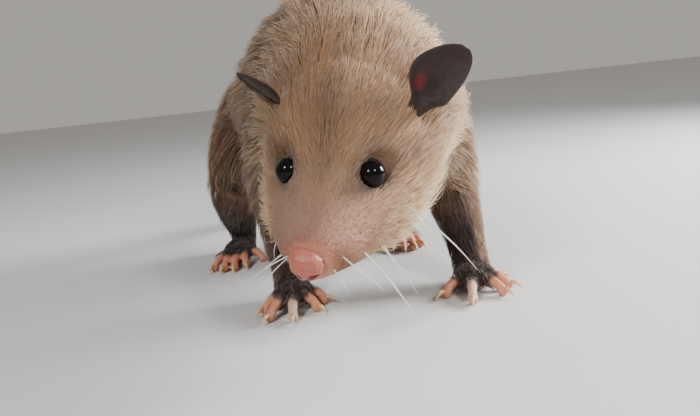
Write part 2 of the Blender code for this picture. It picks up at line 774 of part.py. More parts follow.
def nose_pad():
    """The bare pad, wider than high, swelling either side of its middle."""
    pieces = []
    for side in (-1, 1):
        bpy.ops.mesh.primitive_uv_sphere_add(segments=14, ring_count=9, radius=1)
        swell = bpy.context.object
        sizes = Matrix.Diagonal((0.0062, 0.0062, 0.0074, 1.0))
        place = Matrix.Translation(Vector((side * 0.0038, 0.0035, -0.0005)))
        swell.data.transform(head_frame() @ place @ sizes)
        pieces.append(swell)
    return pieces


def nostril(side):
    """One nostril, opening forward and curling out to the side."""
    points = (head_point(side * 0.0036, -0.0050, -0.0030), head_point(side * 0.0048, 0.0012, -0.0022),
              head_point(side * 0.0062, 0.0045, -0.0002))
    return tube("nostril", points, (0.0015, 0.0014, 0.0011), sides=8, steps=2)


def lip_groove():
    """The cleft that runs from between the nostrils down to the lip."""
    points = (head_point(0, -0.0042, 0.0010), head_point(0, -0.0040, -0.0040),
              head_point(0, 0.0006, -0.0100), head_point(0, 0.0060, -0.0140))
    return tube("cleft", points, (0.0006, 0.0008, 0.0008, 0.0006), sides=6, steps=2)


def dress_head(body):
    """Adds the nose pad and lids to the head, then cuts its nostrils, cleft, mouth and sockets."""
    union_of([body] + nose_pad() + [lid_ring(1), lid_ring(-1)])
    for side in (-1, 1):
        boolean(body, eye_ball(side, EYE_RADIUS + GAP, "socket"), "DIFFERENCE")
        boolean(body, nostril(side), "DIFFERENCE")
    boolean(body, lip_groove(), "DIFFERENCE")
    boolean(body, mouth_groove(body), "DIFFERENCE")
    return body


def lock_ring(rows, at, angles, draw, size, frame=None, flare=0.0):
    """Locks at one place along the rows, at these angles round them, clear of the ears."""
    locks = []
    for angle in angles:
        turn = angle + draw.uniform(-4, 4)
        place = at + draw.uniform(-0.25, 0.25)
        root = row_place(rows, place, turn, 0.5, frame)[0]
        if min((root - ear[0]).length for ear in EARS.values()) > EAR_CLEARANCE:
            locks.append(lock_on(rows, place, turn, draw, size, frame, flare))
    return locks


def coat_locks():
    """Every lock of the coat, in staggered rings along the cheeks, neck, body, legs and root of the tail."""
    draw = random.Random(LOCK_SEED)
    locks = []
    head, frame = head_rows(), head_frame()
    for back, size, low, high, count in CHEEK_LOCKS:
        at = float(np.interp(back, head[:, 1], np.arange(len(head))))
        angles = [low + (high - low) * (n + 0.5) / count for n in range(count)]
        locks += lock_ring(head, at, angles + [180 - angle for angle in angles], draw, size, frame, CHEEK_FLARE)
    for name, rings in LOCK_RINGS.items():
        whole = {"neck": neck_rows, "trunk": trunk_rows, "tail": tail_rows}
        rows = whole[name]() if name in whole else limb_rows(name)
        for k, (at, size, count) in enumerate(rings):
            angles = [90 + (n + 0.5 * (k % 2)) * 360 / count for n in range(count)]
            if name in ("neck", "trunk"):
                angles = [angle for angle in angles if not 232 < angle % 360 < 308]
            locks += lock_ring(rows, at, angles, draw, size)
    return locks


def material(name, colour, roughness):
    made = bpy.data.materials.new(name)
    made.use_nodes = True
    shader = made.node_tree.nodes["Principled BSDF"]
    shader.inputs["Base Color"].default_value = (*colour, 1.0)
    shader.inputs["Roughness"].default_value = roughness
    return made


# Colour and roughness of each piece, by the start of its name
LOOKS = (
    ("head", (0.50, 0.34, 0.22), 0.8),
    ("neck", (0.46, 0.33, 0.22), 0.9),
    ("chest", (0.36, 0.25, 0.17), 0.9),
    ("belly", (0.28, 0.19, 0.13), 0.9),
    ("rump", (0.22, 0.14, 0.10), 0.9),
    ("tail", (0.45, 0.33, 0.28), 0.6),
    ("ear", (0.05, 0.035, 0.033), 0.5),
    ("eye", (0.006, 0.005, 0.005), 0.08),
    ("upper", (0.16, 0.10, 0.07), 0.9),
    ("lower", (0.06, 0.035, 0.03), 0.9),
    ("paw", (0.55, 0.26, 0.19), 0.5),
    ("claw", (0.55, 0.46, 0.25), 0.35),
)


def finish():
    """Gives every piece its material and stands the model's box with its bottom centre on the origin."""
    pieces = [obj for obj in bpy.context.scene.objects if obj.type == "MESH"]
    corners = np.array([vertex.co for obj in pieces for vertex in obj.data.vertices])
    low, high = corners.min(axis=0), corners.max(axis=0)
    shift = Vector((-(low[0] + high[0]) / 2, -(low[1] + high[1]) / 2, -low[2]))
    for obj in pieces:
        obj.data.transform(Matrix.Translation(shift))
        obj.data.materials.clear()
        for start, colour, roughness in LOOKS:
            if obj.name.startswith(start):
                obj.data.materials.append(material(obj.name, colour, roughness))


# Cuts through the flesh: piece, point, direction and half sizes of what is parted off
CUTS = (
    ("paw_fore_left", (0.075, -0.090, 0.0192), (0, 0, -1), (0.0125, 0.046, 0.046)),
    ("paw_fore_right", (-0.043, -0.090, 0.0192), (0, 0, -1), (0.0125, 0.042, 0.046)),
    ("paw_hind_left", (0.040, 0.066, 0.0192), (0, 0, -1), (0.0125, 0.046, 0.052)),
    ("paw_hind_right", (-0.098, 0.066, 0.0192), (0, 0, -1), (0.0125, 0.046, 0.052)),
    ("lower_fore_left", (0.070, -0.046, 0.0620), (0.1, -0.25, -1), (0.040, 0.040, 0.030)),
    ("lower_fore_right", (-0.048, -0.038, 0.0620), (0.0, -0.25, -1), (0.040, 0.034, 0.030)),
    ("lower_hind_left", (0.047, 0.062, 0.0580), (0.0, 0.35, -1), (0.040, 0.036, 0.042)),
    ("lower_hind_right", (-0.094, 0.062, 0.0580), (-0.1, 0.35, -1), (0.040, 0.036, 0.042)),
    ("upper_fore_left", (0.052, -0.052, 0.1080), (0.55, 0.05, -0.84), (0.045, 0.038, 0.040)),
    ("upper_fore_right", (-0.032, -0.048, 0.1060), (-0.55, 0.05, -0.84), (0.045, 0.038, 0.034)),
    ("upper_hind_left", (0.030, 0.080, 0.0980), (0.55, -0.10, -0.84), (0.045, 0.044, 0.040)),
    ("upper_hind_right", (-0.068, 0.082, 0.0980), (-0.55, -0.10, -0.84), (0.045, 0.044, 0.040)),
    ("tail_tip", (-0.052, 0.334, 0.0070), (-0.35, 1, 0), (0.080, 0.080, 0.040)),
    ("tail_end", (-0.0455, 0.262, 0.0180), (0.0, 1, -0.45), (0.080, 0.040, 0.040)),
    ("tail_middle", (-0.0420, 0.190, 0.0810), (-0.1, 0.72, -0.60), (0.080, 0.040, 0.040)),
    ("tail_base", (-0.0355, 0.151, 0.1060), (-0.1, 1, -0.35), (0.060, 0.060, 0.060)),
)

# Cuts behind the neck, chest and belly, as places along the trunk's rows, and the nape's along the neck's
TRUNK_CUTS = (("rump", 20.0), ("belly", 13.0), ("chest", 5.4))
NAPE = 3.2

# How far the locks in front of a cut hang over it, how deep the cut starts in the coat, and its reach behind
OVERHANG = 0.036
OVERHANG_DEPTH = 0.46
FLANGE = 0.0002
BEHIND = 0.25


def main():
    clear_scene()
    flesh = [head_body(), coat_body("neck", neck_rows(), 28), coat_body("trunk", trunk_rows(), 32)]
    flesh.append(coat_body("tail", tail_rows(), 16))
    flesh += [coat_body(name, limb_rows(name), 20) for name in LIMBS]
    body = remeshed(flesh, "head")
    for name in EARS:
        ear_body(name, body)
    dress_head(body)
    claws = []
    paws = []
    for paw in PAWS:
        made, nails = paw_parts(paw)
        paws.append(made)
        claws += nails
    union_of([body] + paws + coat_locks())
    boolean(body, block("cut", (0, 0.1, -0.05), ((1, 0, 0), (0, 1, 0)), (0.6, 0.6, 0.05)), "DIFFERENCE")
    for name, point, direction, sizes in CUTS:
        part_off(body, name, point, direction, sizes)
    for name, at in TRUNK_CUTS:
        part_behind(body, name, trunk_rows(), at)
    part_behind(body, "neck", neck_rows(), NAPE)
    eye_ball(1, EYE_RADIUS, "eye_left")
    eye_ball(-1, EYE_RADIUS, "eye_right")
    for obj in bpy.context.scene.objects:
        cleaned(obj)
    finish()


if __name__ == "__main__":
    main()
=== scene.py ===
"""Life-size opossum around its CAD model: skin, coat, eyes, ears, claws, whiskers and the stage."""

import math

import bmesh
import bpy
import numpy as np
from bpy.props import FloatProperty, FloatVectorProperty, IntProperty, PointerProperty
from mathutils import Matrix, Vector
from mathutils.bvhtree import BVHTree
from mathutils.kdtree import KDTree


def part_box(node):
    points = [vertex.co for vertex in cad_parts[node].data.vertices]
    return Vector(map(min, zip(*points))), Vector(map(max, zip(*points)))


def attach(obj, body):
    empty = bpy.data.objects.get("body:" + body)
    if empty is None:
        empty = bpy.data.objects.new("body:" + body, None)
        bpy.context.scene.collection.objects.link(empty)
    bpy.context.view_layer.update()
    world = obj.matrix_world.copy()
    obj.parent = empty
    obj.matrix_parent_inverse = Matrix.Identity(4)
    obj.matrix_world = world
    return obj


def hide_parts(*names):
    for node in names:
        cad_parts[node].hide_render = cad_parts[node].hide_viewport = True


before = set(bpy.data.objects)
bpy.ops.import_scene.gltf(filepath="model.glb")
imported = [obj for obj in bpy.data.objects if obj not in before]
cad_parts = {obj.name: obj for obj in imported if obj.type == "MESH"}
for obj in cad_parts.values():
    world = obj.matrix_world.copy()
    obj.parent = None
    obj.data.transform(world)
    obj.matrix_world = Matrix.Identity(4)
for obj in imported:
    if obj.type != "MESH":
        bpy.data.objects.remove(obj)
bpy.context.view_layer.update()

bl_info = {
    "name": "Standing opossum",
    "version": (1, 0, 0),
    "blender": (4, 5, 0),
    "location": "View3D > Sidebar > Opossum",
    "description": "Skin, coat, eyes, ears, claws and whiskers of a life-size opossum around its CAD model",
    "category": "Object",
}

# Shapes, repeated from the CAD model's source, before its move to the box's centre

NOSE_TIP = Vector((-0.0245, -0.198, 0.0550))
HEAD_TURN = (-23.0, 40.0, 8.0)
COAT_SHARE = 0.5
CROWN_SHARE = 0.3

# Sections of the head: distance back, level, half width, reach above and below, narrowing, coat's depth
HEAD_SECTIONS = (
    (0.001, -0.001, 0.0085, 0.0070, 0.0080, 0.00, 0.000),
    (0.007, -0.002, 0.0140, 0.0110, 0.0130, 0.05, 0.000),
    (0.016, -0.006, 0.0205, 0.0180, 0.0150, 0.18, 0.001),
    (0.028, -0.011, 0.0285, 0.0260, 0.0175, 0.32, 0.0015),
    (0.041, -0.015, 0.0370, 0.0335, 0.0200, 0.43, 0.003),
    (0.054, -0.018, 0.0440, 0.0405, 0.0230, 0.47, 0.005),
    (0.068, -0.019, 0.0500, 0.0490, 0.0270, 0.44, 0.010),
    (0.082, -0.018, 0.0540, 0.0550, 0.0320, 0.38, 0.013),
    (0.097, -0.016, 0.0550, 0.0575, 0.0370, 0.30, 0.015),
    (0.112, -0.013, 0.0540, 0.0550, 0.0400, 0.22, 0.016),
)
# Rows of neck and trunk: centre, half width, reach above and below, narrowing to the top, coat's depth
NECK = (
    ((0.0115, -0.098, 0.124), 0.063, 0.059, 0.053, 0.15, 0.017),
    ((0.0110, -0.060, 0.127), 0.066, 0.064, 0.056, 0.15, 0.018),
)
TRUNK = (
    ((0.0110, -0.110, 0.1230), 0.058, 0.052, 0.048, 0.12, 0.016),
    ((0.0120, -0.088, 0.1250), 0.066, 0.062, 0.054, 0.14, 0.018),
    ((0.0110, -0.058, 0.1270), 0.073, 0.070, 0.062, 0.18, 0.018),
    ((0.0050, -0.022, 0.1290), 0.078, 0.077, 0.068, 0.22, 0.018),
    ((-0.004, 0.0200, 0.1310), 0.076, 0.081, 0.072, 0.26, 0.018),
    ((-0.011, 0.0620, 0.1310), 0.073, 0.081, 0.070, 0.28, 0.018),
    ((-0.019, 0.1020, 0.1240), 0.069, 0.075, 0.062, 0.25, 0.018),
    ((-0.030, 0.1360, 0.1130), 0.058, 0.058, 0.046, 0.15, 0.016),
    ((-0.035, 0.1560, 0.1050), 0.036, 0.038, 0.030, 0.00, 0.012),
)
# Rows of each limb: centre, half width, half depth, coat's depth
LIMBS = {
    "fore_left": (
        ((0.044, -0.058, 0.128), 0.032, 0.042, 0.012),
        ((0.059, -0.046, 0.094), 0.027, 0.033, 0.010),
        ((0.068, -0.042, 0.068), 0.0195, 0.024, 0.006),
        ((0.0735, -0.055, 0.042), 0.0140, 0.0160, 0.003),
        ((0.0755, -0.067, 0.021), 0.0110, 0.0115, 0.001),
        ((0.0755, -0.078, 0.0095), 0.0110, 0.0090, 0.000),
    ),
    "fore_right": (
        ((-0.026, -0.056, 0.124), 0.032, 0.042, 0.012),
        ((-0.040, -0.040, 0.094), 0.027, 0.033, 0.010),
        ((-0.048, -0.034, 0.068), 0.0185, 0.024, 0.006),
        ((-0.049, -0.046, 0.042), 0.0130, 0.0160, 0.003),
        ((-0.046, -0.060, 0.021), 0.0105, 0.0115, 0.001),
        ((-0.044, -0.071, 0.0095), 0.0110, 0.0090, 0.000),
    ),
    "hind_left": (
        ((0.016, 0.092, 0.118), 0.040, 0.052, 0.014),
        ((0.038, 0.062, 0.090), 0.032, 0.040, 0.012),
        ((0.048, 0.050, 0.068), 0.0225, 0.029, 0.008),
        ((0.047, 0.072, 0.046), 0.0150, 0.0190, 0.004),
        ((0.043, 0.097, 0.026), 0.0110, 0.0130, 0.001),
        ((0.0415, 0.1000, 0.0120), 0.0095, 0.0100, 0.000),
    ),
    "hind_right": (
        ((-0.060, 0.094, 0.118), 0.038, 0.052, 0.014),
        ((-0.077, 0.064, 0.090), 0.032, 0.040, 0.012),
        ((-0.089, 0.052, 0.066), 0.0225, 0.029, 0.008),
        ((-0.096, 0.072, 0.045), 0.0160, 0.0190, 0.004),
        ((-0.098, 0.094, 0.026), 0.0120, 0.0130, 0.001),
        ((-0.0975, 0.0980, 0.0120), 0.0095, 0.0100, 0.000),
    ),
    "sole_left": (
        ((0.0415, 0.1020, 0.0095), 0.0088, 0.0088, 0.000),
        ((0.0408, 0.0880, 0.0088), 0.0098, 0.0084, 0.000),
        ((0.0400, 0.0740, 0.0084), 0.0120, 0.0078, 0.000),
    ),
    "sole_right": (
        ((-0.0975, 0.1000, 0.0095), 0.0088, 0.0088, 0.000),
        ((-0.0978, 0.0860, 0.0088), 0.0098, 0.0084, 0.000),
        ((-0.0980, 0.0720, 0.0084), 0.0120, 0.0078, 0.000),
    ),
}
# Rows of the tail: centre, radius, coat's depth
TAIL = (
    ((-0.032, 0.126, 0.1140), 0.0300, 0.012),
    ((-0.038, 0.160, 0.1030), 0.0200, 0.007),
    ((-0.044, 0.204, 0.0700), 0.0128, 0.001),
    ((-0.046, 0.244, 0.0300), 0.0106, 0.000),
    ((-0.045, 0.280, 0.0080), 0.0094, 0.000),
    ((-0.047, 0.316, 0.0072), 0.0084, 0.000),
    ((-0.058, 0.350, 0.0062), 0.0074, 0.000),
    ((-0.078, 0.378, 0.0052), 0.0064, 0.000),
    ((-0.104, 0.394, 0.0042), 0.0053, 0.000),
    ((-0.130, 0.400, 0.0034), 0.0042, 0.000),
)
# Paws: the palm's centre and radii, then each digit's root and tip seen from above
PAWS = {
    "fore_left": (
        ((0.0745, -0.086, 0.0085), (0.0125, 0.0120, 0.0091)),
        (
            ((0.0670, -0.090), (0.0467, -0.1048)),
            ((0.0720, -0.095), (0.0664, -0.1260)),
            ((0.0790, -0.094), (0.0945, -0.1143)),
            ((0.0820, -0.089), (0.1036, -0.0982)),
            ((0.0820, -0.083), (0.1012, -0.0720)),
        ),
    ),
    "fore_right": (
        ((-0.0430, -0.080, 0.0085), (0.0125, 0.0120, 0.0091)),
        (
            ((-0.0500, -0.082), (-0.0674, -0.1006)),
            ((-0.0475, -0.087), (-0.0608, -0.1160)),
            ((-0.0425, -0.090), (-0.0420, -0.1222)),
            ((-0.0370, -0.087), (-0.0218, -0.1056)),
            ((-0.0350, -0.081), (-0.0141, -0.0850)),
        ),
    ),
    "hind_left": (
        ((0.0400, 0.071, 0.0080), (0.0130, 0.0200, 0.0086)),
        (
            ((0.0310, 0.065), (0.0160, 0.0520)),
            ((0.0350, 0.057), (0.0310, 0.0290)),
            ((0.0395, 0.055), (0.0405, 0.0230)),
            ((0.0440, 0.056), (0.0500, 0.0230)),
            ((0.0480, 0.060), (0.0580, 0.0320)),
        ),
    ),
    "hind_right": (
        ((-0.0980, 0.068, 0.0080), (0.0130, 0.0200, 0.0086)),
        (
            ((-0.0890, 0.062), (-0.0750, 0.0480)),
            ((-0.0930, 0.054), (-0.0880, 0.0270)),
            ((-0.0980, 0.052), (-0.0985, 0.0200)),
            ((-0.1020, 0.053), (-0.1090, 0.0200)),
            ((-0.1060, 0.058), (-0.1190, 0.0260)),
        ),
    ),
}
DIGIT_RADIUS = 0.0036
KNUCKLE_HEIGHT = 0.0082
CLAW_LENGTH = 0.0062
CLAW_RADIUS = 0.00135

EYE_RADIUS = 0.0072
EYE_PLACE = Vector((0.0210, 0.0552, 0.0060))
LID_WAY = Vector((0.66, -0.30, 0.69))

# Where the eye stands in life, a little further out than in the CAD model
EYEBALL = Vector((0.0228, 0.0556, 0.0064))

# Rows of an ear from root to tip, in millimetres: height, left edge, right edge
EAR_ROWS = (
    (-4.0, -5.0, 2.5),
    (0.5, -8.2, 5.0),
    (3.5, -12.5, 9.0),
    (8.0, -15.8, 10.2),
    (13.0, -17.0, 10.8),
    (18.5, -16.2, 11.2),
    (24.0, -13.0, 10.8),
    (29.0, -9.0, 9.6),
    (32.5, -4.5, 7.6),
    (34.8, 0.0, 4.8),
)
EAR_CUP = 0.0064
EAR_CURL = 0.0020
EAR_ROOT_START = 3.5
EAR_ROOT_END = -9.0
# Each ear: its foot, ways to its tip and out of its cup, hand, and how far its root bends into the head
EARS = {
    "ear_left": (
        Vector((0.0455, -0.1570, 0.1260)), Vector((0.62, 0.10, 0.77)),
        Vector((0.02, -0.98, 0.12)), 1.0, Vector((-0.0070, 0.0095, -0.0060)),
    ),
    "ear_right": (
        Vector((-0.0375, -0.1300, 0.1345)), Vector((-0.500, 0.800, 0.460)),
        Vector((-0.720, -0.133, -0.680)), -1.0, Vector((0.0128, 0.0050, -0.0062)),
    ),
}
# Line of the closed mouth: distance back and angle round the head's section
MOUTH = ((0.052, -28), (0.044, -34), (0.036, -40), (0.028, -47), (0.020, -56), (0.012, -68))

# Places on the left of the face as (side, back, up) of the head: nostril, swellings and the corner of the eye
NOSTRIL = ((0.0034, -0.0045, -0.0030), (0.0048, 0.0008, -0.0022), (0.0066, 0.0045, 0.0002))
CLEFT = ((0, -0.0050, -0.0010), (0, -0.0045, -0.0045), (0, 0.0006, -0.0095), (0, 0.0050, -0.0125))
WHISKER_PAD = (0.0135, 0.0165, -0.0085)
BROW = (0.0165, 0.060, 0.0145)
EYE_CORNER_WAY = (-0.35, -0.94, -0.05)

# Dark fur round the eye: each patch's place, share, edge and core
EYE_PATCHES = (
    (EYEBALL, 0.85, 0.0140, 0.0094),
    ((0.0215, 0.0455, 0.0062), 0.80, 0.0085, 0.002125),
    ((0.0340, 0.0668, 0.0013), 0.60, 0.0090, 0.00225),
    ((0.0140, 0.0500, 0.0110), 0.35, 0.0080, 0.0020),
    ((0.0155, 0.0400, 0.0085), 0.32, 0.0110, 0.00275),
)
EAR_PATCH = (0.030, 0.098, 0.026)

# Small dark moles that carry a whisker
MOLES = (
    (0.0066, 0.0189, 0.0082), (0.0153, 0.0145, 0.0012), (0.0175, 0.0205, -0.0015), (0.0168, 0.0135, -0.0035),
    (0.0190, 0.0190, -0.0060), (0.0121, 0.0640, 0.0205),
)

# Colours of the face's folds: painted shade in the nostrils, which the moles also take as their own dark, the
# dark rims of the lids, and painted shade in the mouth's crease
NOSTRIL_SHADE_AND_MOLE = "3A2220"
LID_DARK = "140D0B"
MOUTH_CREASE_SHADE = "6A4038"

# Skin: voxel, about how many triangles are left, and how far back the face keeps all of its own
VOXEL = 0.0011
SKIN_TRIANGLES = 105000
FACE_BACK = 0.076

# How far the hair's ways and depths blend where two forms meet
BLEND = 0.010

# Width of the patch that each lock has on the baked map
PATCH = 0.003

# Where the face is cut finer, in two rounds: reach round the eyes, of the nose's tip and beside the lips
FINER = ((0.0135, 0.012, 0.0030), (0.0105, 0.009, 0.0012))

# Height of a digit's root, and of its pad as a share of its radius
DIGIT_ROOT_HEIGHT = 0.0085
PAD_HEIGHT = 0.85

# How much longer the hair is on jaw and ear roots, and on the legs
JAW_HAIR = 0.0065
LEG_HAIR = 0.0035


def linear(code, alpha=1.0):
    """An sRGB hex colour as linear red, green, blue and alpha."""
    parts = [int(code[k:k + 2], 16) / 255 for k in (0, 2, 4)]
    return (*(c / 12.92 if c <= 0.04045 else ((c + 0.055) / 1.055) ** 2.4 for c in parts), alpha)


def colour(name, text, code):
    return FloatVectorProperty(
        name=name, description=text, subtype="COLOR", size=4, min=0.0, max=1.0, default=linear(code))


class OpossumSizes(bpy.types.PropertyGroup):
    """Sizes that a user would change."""

    seed: IntProperty(name="Seed", description="Start of the random draws of the hair", default=7)
    long_hair: FloatProperty(
        name="Long hair", description="Length of hair over the coat's depth", default=2.0, min=1.0, max=3.0)
    short_hair: FloatProperty(
        name="Short hair", description="Length of the hair where the coat has no depth",
        default=0.0030, min=0.001, max=0.01, subtype="DISTANCE", unit="LENGTH")
    hair_width: FloatProperty(
        name="Hair width", description="Width of the shortest locks",
        default=0.00030, min=0.0001, max=0.001, subtype="DISTANCE", unit="LENGTH")
    coat_layers: FloatProperty(
        name="Layers", description="How many locks lie over each other in the coat",
        default=5.0, min=0.5, max=12.0)
    whisker_radius: FloatProperty(
        name="Whisker radius", description="Radius of a whisker at its root",
        default=0.00054, min=0.0001, max=0.001, subtype="DISTANCE", unit="LENGTH")


class OpossumColours(bpy.types.PropertyGroup):
    """Colours that a user would change."""

    forehead: colour("Forehead", "Short fur between eyes and ears", "A87E55")
    stripe: colour("Stripe", "Darker fur down the middle of the forehead", "6E4A2E")
    cheek: colour("Cheek", "Pale fur of cheek and jaw", "E0BF90")
    # Fringe: pale cheek fur made paler still by painted rim light
    pale_and_lit_fringe: colour("Fringe", "Palest hair, at the edge of cheek and jaw", "F5E1BE")
    muzzle: colour("Muzzle", "Thin fur over pink skin on the muzzle", "A7775B")
    nose: colour("Nose", "Bare pad of the nose", "A45D4E")
    socket: colour("Eye patch", "Dark skin and fur next to the eye", "553A2C")
    shoulder: colour("Shoulder", "Fur of neck and shoulders", "BE9870")
    flank: colour("Flank", "Fur of the flanks", "80604A")
    rump: colour("Rump", "Fur of the rump", "5A4032")
    leg: colour("Leg", "Short fur of the lower legs", "38241F")
    thigh: colour("Thigh", "Fur of the upper legs", "5C4234")
    # Leg edge: partly painted light, much stronger on the left foreleg
    leg_edge: colour("Leg edge", "Paler fur on the outer side of the forelegs", "B8957A")
    pale_digit: colour("Middle digit", "Paler skin of the middle finger", "CDB0A2")
    digit: colour("Digits", "Bare skin of fingers and toes", "C8866C")
    ear: colour("Ear", "Thin bare skin of the ears", "2C2321")
    ear_patch: colour("Ear patch", "Where light shows through the ear", "5E1820")
    # Ear canal: painted shade where the ear opens
    ear_canal_shade: colour("Ear canal", "Inside of the ear's opening", "1E1A18")
    tail: colour("Tail", "Scaly skin of the tail", "A88C7E")
    tail_base: colour("Tail base", "Dark first part of the tail", "3A2C28")
    claw: colour("Claw", "Horn of the claws", "CDB27E")
    whisker: colour("Whisker", "Whiskers", "D2CAC2")
    eye: colour("Eye", "Front of the eye", "0A0808")


def sizes():
    return bpy.context.scene.opossum_sizes


def tint(name):
    """A named colour as three linear numbers."""
    return np.array(getattr(bpy.context.scene.opossum_colours, name)[:3])


# Rows and places, in the same form as the CAD model's source

def smooth_rows(rows, steps):
    """Rows of numbers with a Catmull-Rom curve run through them, steps new rows to each old one."""
    rows = np.array(rows, float)
    padded = np.vstack([2 * rows[0] - rows[1], rows, 2 * rows[-1] - rows[-2]])
    out = []
    for i in range(len(rows) - 1):
        p0, p1, p2, p3 = padded[i:i + 4]
        for k in range(steps):
            t = k / steps
            bend = (2 * p0 - 5 * p1 + 4 * p2 - p3) * t * t
            out.append(0.5 * (2 * p1 + (p2 - p0) * t + bend + (3 * p1 - p0 - 3 * p2 + p3) * t ** 3))
    out.append(rows[-1])
    return np.array(out)


def head_frame():
    """The head's own axes: x to its left, y back along the skull, z out of its crown."""
    yaw, pitch, roll = (math.radians(angle) for angle in HEAD_TURN)
    turn = Matrix.Rotation(yaw, 4, "Z") @ Matrix.Rotation(pitch, 4, "X") @ Matrix.Rotation(roll, 4, "Y")
    return Matrix.Translation(NOSE_TIP) @ turn


def shift():
    """How far the CAD model was moved from the shapes' own places, taken from its left eye."""
    low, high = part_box("eye_left")
    return (Vector(low) + Vector(high)) / 2 - head_frame() @ EYE_PLACE


def head_rows():
    rows = [(0.0, back, level, *rest) for back, level, *rest in HEAD_SECTIONS]
    rows = smooth_rows(rows, 3)
    turn = np.array(head_frame())
    placed = rows.copy()
    placed[:, :3] = rows[:, :3] @ turn[:3, :3].T + turn[:3, 3]
    return placed


def neck_rows():
    turn = head_frame()
    rows = [
        (*(turn @ Vector((0, 0.086, -0.008))), 0.048, 0.044, 0.040, 0.2, 0.010),
        (*(turn @ Vector((0, 0.112, -0.010))), 0.057, 0.053, 0.046, 0.2, 0.015),
    ]
    return smooth_rows(rows + [(*place, *rest) for place, *rest in NECK], 4)


def all_rows():
    """Each form's rows of (x, y, z, half width, above, below, narrowing, coat)."""
    found = {"head": head_rows(), "neck": neck_rows()}
    found["trunk"] = smooth_rows([(*place, *rest) for place, *rest in TRUNK], 4)
    found["tail"] = smooth_rows([(*place, r, r, r, 0.0, coat) for place, r, coat in TAIL], 5)
    for name, rows in LIMBS.items():
        found[name] = smooth_rows([(*place, w, d, d, 0.0, coat) for place, w, d, coat in rows], 4)
    return found


def skin_rows(name, rows):
    """The rows drawn in from the coat's tips to the skin, less on the crown."""
    drawn = rows.copy()
    drawn[:, 3:6] -= COAT_SHARE * rows[:, 7:8]
    if name == "head":
        drawn[:, 4] += COAT_SHARE * (1 - CROWN_SHARE) * rows[:, 7]
    return drawn


def row_axes(name, rows):
    """The ways along, to the left and up at each row."""
    along = np.gradient(rows[:, :3], axis=0)
    along /= np.linalg.norm(along, axis=1)[:, None]
    left = np.array(head_frame())[:3, 0] if name == "head" else np.array((1.0, 0.0, 0.0))
    side = left - along * (along @ left)[:, None]
    side /= np.linalg.norm(side, axis=1)[:, None]
    rise = np.cross(side, along)
    rise[rise[:, 2] < -0.2] *= -1
    return along, side, rise


def new_object(name, mesh):
    """An object of a bmesh, which is freed."""
    bmesh.ops.recalc_face_normals(mesh, faces=mesh.faces)
    data = bpy.data.meshes.new(name)
    mesh.to_mesh(data)
    mesh.free()
    made = bpy.data.objects.new(name, data)
    bpy.context.scene.collection.objects.link(made)
    return made


def loft(name, rows, axes, count=24, dome=0.6, turns=(30, 60)):
    """A closed body through the rows, with rounded ends."""
    along, side, rise = axes
    mesh = bmesh.new()
    angles = np.linspace(0, 2 * math.pi, count, endpoint=False)
    cos, sin = np.cos(angles), np.sin(angles)

    def ring(i, push, scale):
        width, above, below = rows[i, 3:6] * scale
        reach = width * cos * (1 - rows[i, 6] * np.maximum(0, sin))
        height = np.where(sin > 0, above, below) * sin
        points = rows[i, :3] + push + side[i] * reach[:, None] + rise[i] * height[:, None]
        return [mesh.verts.new(point) for point in points]

    def end(i, sign):
        reach = dome * min(rows[i, 3:6])
        rings = [ring(i, sign * along[i] * reach * math.sin(math.radians(t)), math.cos(math.radians(t)))
                 for t in turns]
        return rings, mesh.verts.new(rows[i, :3] + sign * along[i] * reach)

    first, first_tip = end(0, -1)
    last, last_tip = end(len(rows) - 1, 1)
    rings = first[::-1] + [ring(i, 0, 1) for i in range(len(rows))] + last
    for a, b in zip(rings, rings[1:]):
        for k in range(count):
            mesh.faces.new((a[k], a[(k + 1) % count], b[(k + 1) % count], b[k]))
    for k in range(count):
        mesh.faces.new((rings[0][(k + 1) % count], rings[0][k], first_tip))
        mesh.faces.new((rings[-1][k], rings[-1][(k + 1) % count], last_tip))
    return new_object(name, mesh)


def tube(name, points, radii, count=12, steps=4, dome=0.9, turns=(30, 60)):
    """A round tapered body through the points."""
    rows = smooth_rows([(*p, r, r, r, 0.0, 0.0) for p, r in zip(points, radii)], steps)
    along = np.gradient(rows[:, :3], axis=0)
    along /= np.linalg.norm(along, axis=1)[:, None]
    way = np.array(points[-1]) - np.array(points[0])
    hint = np.array((0.0, 0.0, 1.0)) if abs(way[2]) < 0.5 * np.linalg.norm(way) else np.array((1.0, 0.0, 0.0))
    side = hint - along * (along @ hint)[:, None]
    side /= np.linalg.norm(side, axis=1)[:, None]
    return loft(name, rows, (along, side, np.cross(side, along)), count, dome, turns)


def select_only(*objects):
    if bpy.context.object and bpy.context.object.mode != "OBJECT":
        bpy.ops.object.mode_set(mode="OBJECT")
    bpy.ops.object.select_all(action="DESELECT")
    for item in objects:
        item.select_set(True)
    bpy.context.view_layer.objects.active = objects[0]


def apply_modifiers(item):
    select_only(item)
    for modifier in list(item.modifiers):
        bpy.ops.object.modifier_apply(modifier=modifier.name)


def joined(objects, name):
    select_only(*objects)
    bpy.ops.object.join()
    made = bpy.context.object
    made.name = name
    return made


def vertex_places(mesh):
    places = np.empty(len(mesh.vertices) * 3)
    mesh.vertices.foreach_get("co", places)
    return places.reshape(-1, 3)


def place_vertices(mesh, places):
    mesh.vertices.foreach_set("co", np.ascontiguousarray(places, np.float64).ravel())
    mesh.update()


def smooth_step(low, high, values):
    t = np.clip((values - low) / (np.asarray(high) - low), 0, 1)
    return t * t * (3 - 2 * t)


def in_head(points):
    """Points as (side, back, up) of the head."""
    turn = np.array(head_frame().inverted())
    return points @ turn[:3, :3].T + turn[:3, 3]


def mirrored(places, hand):
    """Places on the left of the head, or their twins on the right."""
    return np.array(places) * (hand, 1, 1)


def folded(points):
    """Points of the head, those on its right laid over its left."""
    return np.abs(points * (1, 0, 0)) + points * (0, 1, 1)


def close_to(points, place, edge, core):
    """How close points are to a place: 0 from the edge on, 1 inside the core."""
    return smooth_step(edge, core, np.linalg.norm(points - np.array(place), axis=1))


